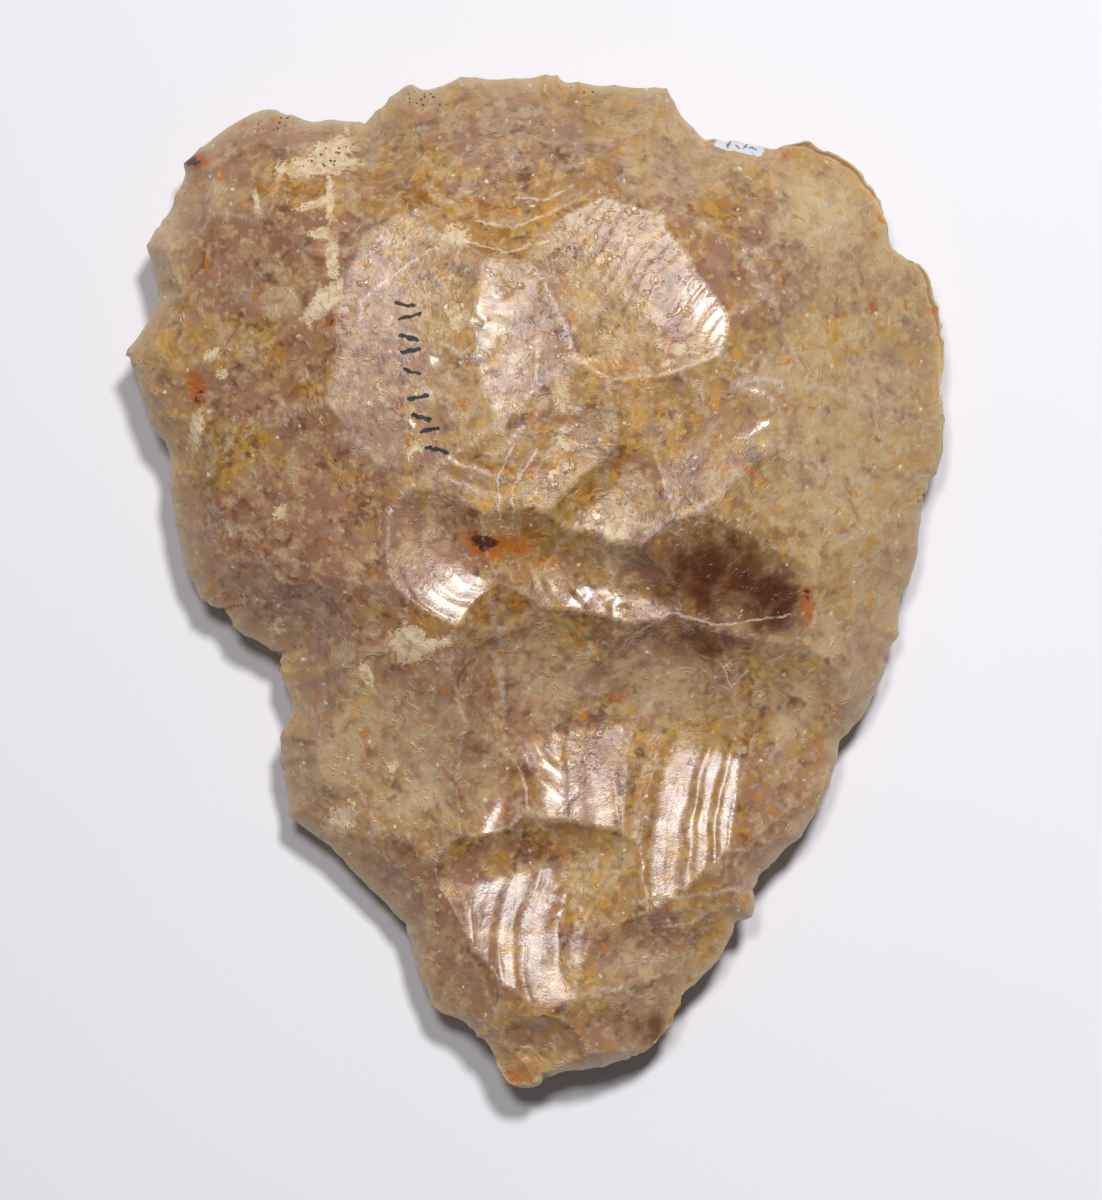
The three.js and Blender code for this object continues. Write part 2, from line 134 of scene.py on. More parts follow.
# Flake scars of the upper face: middle x, y, half length, half width, turn, depth, lean x, lean y,
# and where ripples stand out, the x and y they spread from, their spacing and their height.
upperScars = [
    # butt edge
    (-31.5, 42.5, 7.8, 5.4, 34, 0.72), (-22.5, 43, 7.8, 6.4, -70, 0.78),
    (-11, 47.5, 7.8, 6.4, -80, 0.78), (0.5, 47.5, 9, 6.4, -90, 0.78),
    (11, 47.5, 8.4, 6, -100, 0.84), (19, 39.5, 9, 5.8, -35, 1.14, -0.1, -0.12),
    (28, 37.5, 11, 9.4, -130, 1.14, -0.1, -0.08), (35, 40.5, 5.2, 2.8, -55, 0.84, -0.1, -0.1),
    # right side, downwards
    (32, 26, 13.6, 10.4, -60, 1.44, -0.2, -0.1), (38.5, 29.5, 6.4, 2.6, -70, 0.84, -0.1, -0.1),
    (40.5, 21, 4.2, 2, -80, 0.84, -0.1, 0), (33, 13, 10.4, 7.6, 170, 1.08, -0.1, 0),
    (38.5, 8, 6.4, 3.6, -100, 0.78, -0.1, 0), (31.5, -2, 4.2, 7.4, -10, 0.9, -0.05, 0),
    (35, -2, 8.2, 6.6, 150, 1.08, -0.1, 0), (33, -11.5, 6.4, 4.8, 150, 0.96, -0.1, 0),
    (27.5, -13.5, 4, 6, -22, 1.44, -0.05, 0), (27, -23, 5.4, 9, -35, 1.14, -0.12, 0),
    # left side, downwards
    (-33, 30.5, 11.6, 8.2, -60, 0.96), (-31.5, 19, 12, 6.4, 35, 0.9),
    (-24, 9, 14.8, 8.4, -12, 1.02), (-33, 2, 7.4, 9, 80, 0.78),
    (-24, -4.5, 9.4, 5.8, -20, 0.78), (-21.5, -12.5, 7.8, 6.4, 10, 0.78),
    (-14.5, -16.5, 11.6, 7.8, -50, 1.02), (-22.5, -26, 4.8, 4.2, -20, 0.72),
    (-16, -31.5, 5, 3, -45, 0.66), (-12, -38.5, 5.2, 10, 12, 1.2, 0.05, 0),
    (-8, -44, 3.8, 4.8, -30, 0.72, 0.05, 0),
    # crown
    (-3, 40.5, 9.5, 7, 0, 0.9, 0, 0, (-2, 53, 2.8, 0.06)),
    (-14, 21, 8.5, 15, -8, 1, -0.06, 0),
    (-3.5, 27, 7.5, 8, 5, 0.7, 0, 0.05, (-4, 44, 2.4, 0.03)),
    (4.5, 16, 6.5, 9.5, 0, 0.85, 0.05, 0.08),
    (15, 14.5, 9.5, 8, -10, 0.95),
    (-6, 8.5, 8, 7, -6, 0.8, 0, 0, (-2, 24, 2.6, 0.05)),
    (7.5, 7.5, 7.5, 5.5, 0, 0.7),
    (24, 7, 8.5, 6, -20, 0.95, -0.05, 0),
    # waist
    (18.5, -1, 12.8, 7.8, -8, 1.74),
    (0, -10.5, 5.4, 6.8, -30, 0.9),
    # tip
    (16, -40, 7.4, 4, 25, 0.9), (12, -44.5, 8.2, 5.4, 12, 1.44), (-2, -50.5, 3.4, 2.8, 0, 0.84),
]

# Broad scars with a nearly flat floor: x, y, turn, height there, how far the floor falls per
# millimetre along x and y, then the distances right, left, up and down at which its sides have
# risen by one millimetre, and where ripples stand out, as above.
floorScars = [
    (15.5, -18, -13, 11.3, 0.04, 0.1, 12, 6, 4.5, 28, (64.4, -29.3, 2.9, 0.1)),
    (21.5, -19, -9, 11.4, 0.35, 0.06, 30, 30, 5, 30, (64.4, -29.3, 2.9, 0.02)),
    (5, -16, 10, 12.1, 0.03, 0.09, 9, 6, 3.7, 28, (20.8, -21.2, 2.3, 0.08)),
    (0, -18, 20, 12.5, 0.03, 0.12, 6, 3, 5, 22, (10.8, -12.5, 2.4, 0.09)),
    (-4.2, -24, -16, 13, 0.03, 0.12, 3.2, 3.2, 5, 7),
    (-1, -27.6, 25, 12.9, 0.03, 0.12, 4, 4, 2.4, 4, (-1, -21, 1.4, 0.03)),
    (-3.4, -31.4, 10, 11.2, 0.05, 0.13, 9, 7, 3, 60, (14.7, -38.4, 3.3, 0.09)),
    (12, -40, -10, 10.5, 0.2, 0, 14, 10, 3.2, 16, (14.7, -38.4, 3.6, 0.03)),
    (17, -35.4, 8, 11.5, 0.06, 0.1, 12, 12, 1.2, 3, (17.1, -41.9, 1.6, 0.03)),
    (-1, -50, 0, 9.4, 0, -0.1, 5, 5, 3, 20),
    (13, 31.5, 40, 19.8, 0.06, 0.15, 10, 9, 24, 14, (25, 20, 1.6, 0.022)),
    (17.5, 30.5, 0, 19.9, 0.28, 0.34, 20, 20, 20, 20, (40, 20, 3, 0.02)),
    (5.8, -1, -20, 18.5, 0.05, 0.18, 10, 7, 2.6, 14, (20, 4, 1.9, 0.04)),
    (4, 4.8, 45, 21.8, 0.05, 0.17, 8, 7, 2.6, 8),
    (-8.2, 0.4, -35, 20.5, 0.05, 0.17, 9, 7, 3.5, 16, (-4.9, 4.3, 1.9, 0.05)),
    (-2.6, -3, 10, 18.9, 0.08, -0.5, 4, 3.2, 7, 5, (16, -6, 1.7, 0.07)),
]

# Scars of the underside in two rounds: how many, first place, how far out, half length as a share
# of that, half width, depth, unevenness.
lowerRounds = [(12, 0, 0.7, 0.4, 10, 0.6, 0.35), (12, 0.5, 0.9, 0.17, 6.5, 0.55, 0.3)]

# Places where the surface is crushed into small facets: x, y, reach, how many, their size, depth.
crushedPlaces = [
    (4.5, -3.5, 3.6, 12, 1.5, 0.14), (-1.5, -48, 3.2, 14, 1.1, 0.22), (-13.5, 43.5, 3.2, 9, 1.6, 0.2),
    (-8.5, 19, 5.0, 14, 1.3, 0.14), (2.6, 13.5, 2.6, 8, 1.2, 0.14), (3, 19.4, 2.4, 6, 1.1, 0.16),
    (14, 23, 3.0, 8, 1.2, 0.18), (26, 14, 5.0, 10, 1.6, 0.18), (-21, 31, 3.6, 10, 1.4, 0.2),
    (-26, 16, 5.0, 12, 1.9, 0.18), (-22, -25, 3.4, 16, 1.2, 0.26), (2, -30.5, 3.0, 8, 1.3, 0.2),
    (-30, 12, 5.0, 8, 2.2, 0.16), (8, -9.5, 4.0, 12, 1.4, 0.22), (-13, -7, 2.6, 8, 1.0, 0.2),
    (31, -6, 4.0, 8, 1.8, 0.18), (-2, 33, 4.0, 8, 1.6, 0.16), (20, 42, 4.0, 7, 1.7, 0.16),
    (0, -5.5, 4.0, 12, 1.7, 0.3), (7, -6.2, 4.0, 14, 1.8, 0.34), (14, -5.6, 4.0, 10, 1.6, 0.24),
    (22, 19, 4.0, 10, 1.4, 0.2), (-1, 1.5, 3.0, 8, 1.2, 0.18), (34, 20, 5.0, 8, 1.8, 0.16),
]


def lattice(x, y, size, seed):
    # value noise from -1 to 1: random numbers at the crossings of a square lattice,
    # blended in between by 6t^5 - 15t^4 + 10t^3
    count = 64
    table = np.random.default_rng(seed).uniform(-1, 1, (count, count))
    u = x / size + count / 3
    v = y / size + count / 5
    i = np.floor(u).astype(int)
    j = np.floor(v).astype(int)
    fu = u - i
    fv = v - j
    fu = fu**3 * (fu * (fu * 6 - 15) + 10)
    fv = fv**3 * (fv * (fv * 6 - 15) + 10)
    i0, i1, j0, j1 = i % count, (i + 1) % count, j % count, (j + 1) % count
    near = table[i0, j0] * (1 - fu) + table[i1, j0] * fu
    far = table[i0, j1] * (1 - fu) + table[i1, j1] * fu
    return near * (1 - fv) + far * fv


def arcCounts(total):
    # samples of each arc: its share of the summed (length + 6 bow), rounded at the running sum
    corners = np.array(outlineCorners, float)
    chord = np.roll(corners[:, :2], -1, axis=0) - corners[:, :2]
    want = np.hypot(chord[:, 0], chord[:, 1]) + 6 * np.abs(corners[:, 2])
    ends = np.round(np.cumsum(want) / want.sum() * total).astype(int)
    return corners, chord, np.diff(ends, prepend=0)


def outlineRim(total):
    # point of an arc = corner + t chord + 4 bow t (1 - t) across the chord, then chips are bitten in
    corners, chord, counts = arcCounts(total)
    arc = np.repeat(np.arange(len(counts)), counts)
    t = (np.arange(total) - np.repeat(np.cumsum(counts) - counts, counts)) / np.repeat(counts, counts)
    length = np.hypot(chord[:, 0], chord[:, 1])
    across = np.stack([chord[:, 1], -chord[:, 0]], 1) / length[:, None]
    bow = (4 * corners[:, 2][arc] * t * (1 - t))[:, None]
    rim = corners[arc, :2] + chord[arc] * t[:, None] + across[arc] * bow
    rim -= (rim.max(0) + rim.min(0)) / 2
    size = np.array(handAxeBox[1] - handAxeBox[0])[:2] / millimetre
    return rim * size / (rim.max(0) - rim.min(0))


def chipPlaces(rim):
    # runs of the edge between seeded breaks: the chip each sample is in, and its share along it
    length = np.hypot(*(np.roll(rim, -1, axis=0) - rim).T).sum()
    count = int(length / stone["chipLength"])
    random = np.random.default_rng(31)
    breaks = np.cumsum(random.uniform(0.35, 1.65, count))
    breaks = breaks / breaks[-1]
    turn = np.arange(len(rim)) / len(rim)
    chip = np.searchsorted(breaks, turn, side="right")
    start = np.concatenate([[0], breaks])[chip]
    share = (turn - start) / (breaks[chip] - start)
    return chip, share, random.uniform(0, 1, count) ** 1.6


def chippedRim(total):
    # each chip moves the rim inwards by its depth times 4 s (1 - s)
    rim = outlineRim(total)
    chip, share, strength = chipPlaces(rim)
    along = np.roll(rim, -1, axis=0) - np.roll(rim, 1, axis=0)
    inward = np.stack([-along[:, 1], along[:, 0]], 1) / np.hypot(along[:, 0], along[:, 1])[:, None]
    bite = stone["chipDepth"] * strength[chip] * 4 * share * (1 - share)
    return rim + inward * bite[:, None], chip, share, strength


rimCount = 8 * stone["rings"]
rim, rimChip, rimShare, chipStrength = chippedRim(rimCount)


def edgeHeightAt(turn):
    # mean height plus the sum of height sin(2 pi (count turn + start))
    waves = [h * np.sin(2 * np.pi * (n * turn + s)) for h, n, s in stone["edgeWaves"]]
    return stone["edgeHeight"] + sum(waves)


def rimPoint(turn):
    # point of the rim by its share of the way round, straight between samples
    place = (np.asarray(turn, float) % 1) * rimCount
    index = np.floor(place).astype(int)
    part = (place - index)[..., None]
    return rim[index % rimCount] * (1 - part) + rim[(index + 1) % rimCount] * part


def nearestEdge(x, y):
    # smallest distance to the rim's segments, and the turn of that place, in blocks of points
    x, y = x.astype(np.float32), y.astype(np.float32)
    start = rim.astype(np.float32)
    step = np.roll(start, -1, axis=0) - start
    reach = (step**2).sum(1)
    distance = np.empty(len(x))
    turn = np.empty(len(x))
    block = 4000
    for first in range(0, len(x), block):
        part = slice(first, first + block)
        dx = x[part, None] - start[:, 0]
        dy = y[part, None] - start[:, 1]
        t = np.clip((dx * step[:, 0] + dy * step[:, 1]) / reach, 0, 1)
        gap = (dx - t * step[:, 0]) ** 2 + (dy - t * step[:, 1]) ** 2
        best = gap.argmin(1)
        row = np.arange(len(best))
        distance[part] = np.sqrt(gap[row, best])
        turn[part] = (best + t[row, best]) / rimCount
    return distance, turn


def halfWidthAt(y):
    # widest times a falling power curve, one for the butt and one for the blade
    out = y - stone["widestY"]
    low = stone["narrowest"]
    butt = np.maximum(1 - (out / stone["buttTaper"]) ** stone["buttTaperPower"], low)
    blade = np.maximum(1 - (out / stone["bladeTaper"]) ** 2, low) ** stone["bladeTaperPower"]
    return stone["bodyHalfWidth"] * np.where(out > 0, butt, blade)


def middleAt(y):
    # middle line of the body: straight along the blade, bent over at the butt
    butt = stone["buttDrift"] * (y - stone["buttBendY"])
    blade = stone["middleStart"] + stone["middleDrift"] * np.maximum(y, stone["middleDriftEnd"])
    return np.where(y > stone["buttBendY"], butt, blade)


def upperDome(x, y):
    # foot + rise (1 - fall along y) (1 - across^shoulder)
    across = np.abs(x - middleAt(y)) / halfWidthAt(y)
    up = (np.maximum(y - stone["crownY"], 0) / stone["buttReach"]) ** stone["buttFallPower"]
    t = np.clip((stone["crownY"] - y) / stone["tipReach"], 0, 1)
    drop = stone["tipDrop"]
    toBlade = 1 - (1 - t) ** drop * (1 + drop * t)
    down = stone["tipTable"] * toBlade + (1 - stone["tipTable"]) * t ** stone["tipFallPower"]
    fall = np.where(y > stone["crownY"], up, down)
    return stone["domeFoot"] + stone["domeRise"] * (1 - fall) * (1 - across ** stone["domeShoulder"])


def lowerDome(x, y):
    # low + rise (1 - (1 - along^power) (1 - across^power))
    across = np.abs(x - middleAt(y)) / halfWidthAt(y)
    reach = np.where(y > stone["bellyY"], stone["buttReach"], stone["tipReach"])
    along = np.abs(y - stone["bellyY"]) / reach
    power = stone["bellyPower"]
    return stone["bellyLow"] + stone["bellyRise"] * (1 - (1 - along**power) * (1 - across**power))


def turned(scar, x, y):
    # x and y from the scar's middle, and the same along and across the scar
    dx, dy = x - scar["x"], y - scar["y"]
    return dx, dy, dx * scar["cos"] + dy * scar["sin"], dy * scar["cos"] - dx * scar["sin"]


def bowl(scar, x, y):
    # depth ((u / along)^2 + (v / across)^2 - 1) + lean, u and v being turned coordinates
    dx, dy, u, v = turned(scar, x, y)
    u, v = u / scar["along"], v / scar["across"]
    return scar["depth"] * (u * u + v * v - 1) + scar["leanX"] * dx + scar["leanY"] * dy


def floorHeight(scar, x, y):
    # height - fall along x and y + (u / reach)^2 + (v / reach)^2, each reach by the side it is on
    dx, dy, u, v = turned(scar, x, y)
    right, left, up, down = scar["reaches"]
    sides = (u / np.where(u > 0, right, left)) ** 2 + (v / np.where(v > 0, up, down)) ** 2
    return scar["height"] - scar["fallX"] * dx - scar["fallY"] * dy + sides


def floorFrom(row):
    # a row of floorScars by name; plain ripples spread from farther out
    x, y, turn, height, fallX, fallY, *reaches = row[:10]
    angle = math.radians(turn)
    return {
        "x": x, "y": y, "height": height, "fallX": fallX, "fallY": fallY, "reaches": reaches,
        "cos": math.cos(angle), "sin": math.sin(angle),
        "ripple": row[10] if len(row) > 10 else (x * 1.6, y * 1.3, *stone["plainRipple"]),
    }


def scarFrom(row):
    # a row of upperScars by name; plain ripples spread from its place times 1 + 1.5 length / distance
    x, y, along, across, turn, depth = row[:6]
    angle = math.radians(turn)
    leanX, leanY = row[6:8] if len(row) > 7 else (0, 0)
    outX, outY = x, y - stone["netMiddle"][1]
    far = 1 + 1.5 * max(along, across) / max(math.hypot(outX, outY), 1)
    plain = (outX * far, outY * far + stone["netMiddle"][1], *stone["plainRipple"])
    return {
        "x": x, "y": y, "along": along, "across": across, "depth": depth,
        "leanX": leanX, "leanY": leanY, "cos": math.cos(angle), "sin": math.sin(angle),
        "ripple": row[8] if len(row) > 8 else plain,
    }


def lowerScarRows():
    # a scar on a ray from the middle to the rim, with sizes that vary by sines of its number
    middle = np.array(stone["netMiddle"])
    rows = []
    for count, start, out, reach, across, depth, uneven in lowerRounds:
        for k in range(count):
            turn = (k + start + uneven * math.sin(2.3 * k)) / count
            ray = rimPoint(turn) - middle
            length = math.hypot(*ray)
            place = middle + ray * out
            rows.append((
                place[0], place[1], length * reach, across * (1 + 0.15 * math.sin(3.1 * k)),
                math.degrees(math.atan2(ray[1], ray[0])), depth * (1 + 0.25 * math.sin(1.9 * k + 1)),
            ))
    return rows


upperList = [scarFrom(row) for row in upperScars]
floorList = [floorFrom(row) for row in floorScars]
lowerList = [scarFrom(row) for row in lowerScarRows()]


def strikeDistance(scar, x, y):
    # distance from the place the flake was struck, a little uneven
    impactX, impactY = scar["ripple"][:2]
    uneven = sum(reach * lattice(x, y, size, seed) for size, reach, seed in stone["rippleWander"])
    return np.hypot(x - impactX, y - impactY) + uneven


def rippleHeight(scar, x, y):
    # height (sin p + overtone sin(2p + 0.7)), p = 2 pi distance / spacing plus the sine of a slower
    # wave, which makes bands of different width, stronger and weaker in patches
    spacing, height = scar["ripple"][2:]
    drift, pace = stone["ripplePace"]
    mean, variation, size, seed = stone["rippleStrength"]
    p = 2 * np.pi * strikeDistance(scar, x, y) / spacing
    p = p + drift * np.sin(p / pace)
    wave = np.sin(p) + stone["rippleOvertone"] * np.sin(2 * p + 0.7)
    return height * wave * (mean + variation * lattice(x, y, size, seed))


def trimmedBand(x, y, slope):
    # rise above the edge: slope times distance + step (1 - e^(-distance / width)), hollowed behind
    # each chip by depth (1 - v^2) times how far in, v running from -1 to 1 across the chip
    distance, turn = nearestEdge(x, y)
    sample = np.minimum((turn * rimCount).astype(int), rimCount - 1)
    v = 2 * rimShare[sample] - 1
    deep = chipStrength[rimChip[sample]]
    step = stone["retouchStep"] * (1 - np.exp(-distance / stone["retouchStepWidth"]))
    hollow = stone["fluteDepth"] * deep * (1 - v * v) * (1 - np.exp(-distance))
    return edgeHeightAt(turn), slope * distance + step - hollow


def wander(x, y):
    # the place that a point is looked up at: itself plus lattice noise in x and in y
    dx = sum(reach * lattice(x, y, size, seed) for size, reach, seed in stone["wander"])
    dy = sum(reach * lattice(x, y, size, seed + 50) for size, reach, seed in stone["wander"])
    return x + dx, y + dy


def dents(x, y):
    # deepest of many small hollows, each depth (1 - the farthest of three slanted distances), and
    # deeper towards one end
    random = np.random.default_rng(61)
    deepest = np.zeros(len(x))
    for placeX, placeY, reach, count, size, depth in crushedPlaces:
        near = np.flatnonzero((np.abs(x - placeX) < reach * 2.5) & (np.abs(y - placeY) < reach * 2.5))
        px, py = x[near], y[near]
        for _ in range(count):
            cx = placeX + random.normal(0, reach * stone["dentSpread"])
            cy = placeY + random.normal(0, reach * stone["dentSpread"])
            along = size * random.uniform(*stone["dentLength"])
            across = along * random.uniform(*stone["dentWidth"])
            angle = random.uniform(0, np.pi)
            u = ((px - cx) * np.cos(angle) + (py - cy) * np.sin(angle)) / along
            v = ((py - cy) * np.cos(angle) - (px - cx) * np.sin(angle)) / across
            slanted = np.maximum(np.maximum(np.abs(u + 0.5 * v), np.abs(v)), np.abs(u - 0.6 * v))
            inside = np.maximum(1 - slanted, 0)
            dent = depth * random.uniform(*stone["dentDepth"]) * inside
            dent = dent * (1 + random.uniform(-stone["dentSlope"], stone["dentSlope"]) * u)
            deepest[near] = np.maximum(deepest[near], dent)
    return deepest


def upperSheets(x, y):
    # candidate heights of the upper face: the trimmed band, unflaked stone, and each scar's bowl
    wx, wy = wander(x, y)
    dome = upperDome(wx, wy)
    edge, rise = trimmedBand(x, y, stone["retouchSlope"])
    sheets = [dome + bowl(scar, wx, wy) + rippleHeight(scar, x, y) for scar in upperList]
    floors = [floorHeight(scar, wx, wy) + rippleHeight(scar, x, y) for scar in floorList]
    return np.array([edge + rise, dome + stone["uncutRise"], *sheets, *floors])


def lowerSheets(x, y):
    # the same for the underside, turned over so that the lowest candidate still wins
    wx, wy = wander(x, y)
    dome = lowerDome(wx, wy)
    edge, rise = trimmedBand(x, y, stone["retouchSlopeUnder"])
    sheets = [bowl(scar, wx, wy) + rippleHeight(scar, x, y) - dome for scar in lowerList]
    return np.array([rise - edge, 0 * x, -dome, *sheets])


def netPlaces(rings):
    # ring = larger of |a| and |b|; turn = steps round that square ring from its corner over 8 ring
    line = np.arange(-rings, rings + 1)
    a, b = np.meshgrid(line, line, indexing="ij")
    k = np.maximum(np.abs(a), np.abs(b))
    step = np.select([a == k, b == k, a == -k], [b + k, 3 * k - a, 5 * k - b], 7 * k + a)
    turn = step / np.maximum(8 * k, 1)
    scale = 1 - (1 - k / rings) ** stone["ringCrowding"]
    middle = np.array(stone["netMiddle"])
    place = (rimPoint(turn) - middle) * scale[..., None] + middle
    return k, turn, place


def snapToRidges(place, heights, inner):
    # between two neighbours with different winners, the nearer one moves to the crossing of the
    # two sheets, taken as straight in between; a point takes its shortest move, within snapReach
    winner = heights.argmin(0)
    best = np.full(winner.shape, stone["snapReach"])
    moved = place.copy()
    for axis in (0, 1):
        count = winner.shape[axis] - 1
        first, second = [slice(None)] * 2, [slice(None)] * 2
        first[axis], second[axis] = slice(0, count), slice(1, None)
        first, second = tuple(first), tuple(second)
        own, other = winner[first], winner[second]
        take = lambda part, which: np.take_along_axis(heights[(slice(None), *part)], which[None], 0)[0]
        gapFirst = take(first, other) - take(first, own)
        gapSecond = take(second, own) - take(second, other)
        t = gapFirst / np.maximum(gapFirst + gapSecond, 1e-9)
        crossing = place[first] * (1 - t[..., None]) + place[second] * t[..., None]
        usable = (own != other) & inner[first] & inner[second]
        for part, share, near in ((first, t, t < 0.5), (second, 1 - t, t >= 0.5)):
            wins = usable & near & (share < best[part])
            best[part] = np.where(wins, share, best[part])
            moved[part] = np.where(wins[..., None], crossing, moved[part])
    return moved


def buildFace(rings, sheets, sign):
    # net points moved onto ridges, then lifted to the winning sheet
    k, turn, place = netPlaces(rings)
    shape = k.shape
    inner = k < rings
    heights = sheets(place[..., 0].ravel(), place[..., 1].ravel()).reshape(-1, *shape)
    moved = snapToRidges(place, heights, inner)
    x, y = moved[..., 0].ravel(), moved[..., 1].ravel()
    heights = sheets(x, y)
    two = np.partition(heights, 1, axis=0)[:2]
    z = np.where(inner.ravel(), sign * two[0], edgeHeightAt(turn.ravel()))
    facts = {"winner": heights.argmin(0), "gap": two[1] - two[0], "inner": inner.ravel()}
    return np.stack([x, y, z], 1), facts


def faceTriangles(points, rings):
    # each cell is split along the diagonal whose ends are nearer in height to the other pair's mean;
    # on the net's own diagonals the split follows the ring corners
    side = 2 * rings + 1
    line = np.arange(-rings, rings)
    a, b = np.meshgrid(line, line, indexing="ij")
    p = (a + rings) * side + (b + rings)
    q, r, s = p + side, p + side + 1, p + 1
    z = points[:, 2]
    forward = np.abs(z[p] - z[r]) < np.abs(z[q] - z[s])
    forward = np.where(a == b, True, np.where(a + b + 1 == 0, False, forward))
    one = np.where(forward[..., None], np.stack([p, q, r], -1), np.stack([p, q, s], -1))
    two = np.where(forward[..., None], np.stack([p, r, s], -1), np.stack([q, r, s], -1))
    return np.concatenate([one.reshape(-1, 3), two.reshape(-1, 3)])


def rimIndices(rings):
    # net numbers of the outermost ring in order of turn
    k, turn, _ = netPlaces(rings)
    outer = np.flatnonzero(k.ravel() == rings)
    return outer[np.argsort(turn.ravel()[outer])]


def fineRelief(x, y):
    # swell of the broken surface: lattice noise of a few sizes
    return sum(height * lattice(x, y, size, seed) for size, height, seed in stone["swell"])


def stoneMesh():
    # both faces share the rim: the underside uses every second rim point, and one sliver triangle
    # for each fills the other
    rings = stone["rings"]
    upper, upperFacts = buildFace(rings, upperSheets, 1)
    lower, lowerFacts = buildFace(rings // 2, lowerSheets, -1)
    inside = upperFacts["inner"]
    distance = nearestEdge(upper[:, 0], upper[:, 1])[0]
    fade = np.clip(distance / stone["swellFade"], 0, 1)
    relief = fineRelief(upper[:, 0], upper[:, 1]) - dents(upper[:, 0], upper[:, 1])
    upper[:, 2] += inside * fade * relief
    upperTriangles = faceTriangles(upper, rings)
    lowerTriangles = faceTriangles(lower, rings // 2)
    upperRim = rimIndices(rings)
    lowerRim = rimIndices(rings // 2)
    renumber = np.empty(len(lower), int)
    kept = lowerFacts["inner"]
    renumber[kept] = len(upper) + np.arange(kept.sum())
    renumber[lowerRim] = upperRim[::2]
    lowerTriangles = renumber[lowerTriangles][:, ::-1]
    even = upperRim[::2]
    slivers = np.stack([even, np.roll(even, -1), upperRim[1::2]], 1)
    points = np.concatenate([upper, lower[kept]])
    triangles = np.concatenate([upperTriangles, lowerTriangles, slivers])
    merge = lambda key: np.concatenate([upperFacts[key], lowerFacts[key][kept]])
    return points, triangles, merge("winner"), merge("gap"), len(upper)


points, triangles, winner, ridgeGap, upperCount = stoneMesh()
lowest = np.array(handAxeBox[0]) / millimetre
highest = np.array(handAxeBox[1]) / millimetre
points = np.clip(points, lowest, highest)
print("stone worked out:", len(points), "points,", len(triangles), "triangles")


# What the stone's colours follow, as soft ellipses on the upper face: x, y, half length, half width,
# strength, and a turn in degrees where there is one.

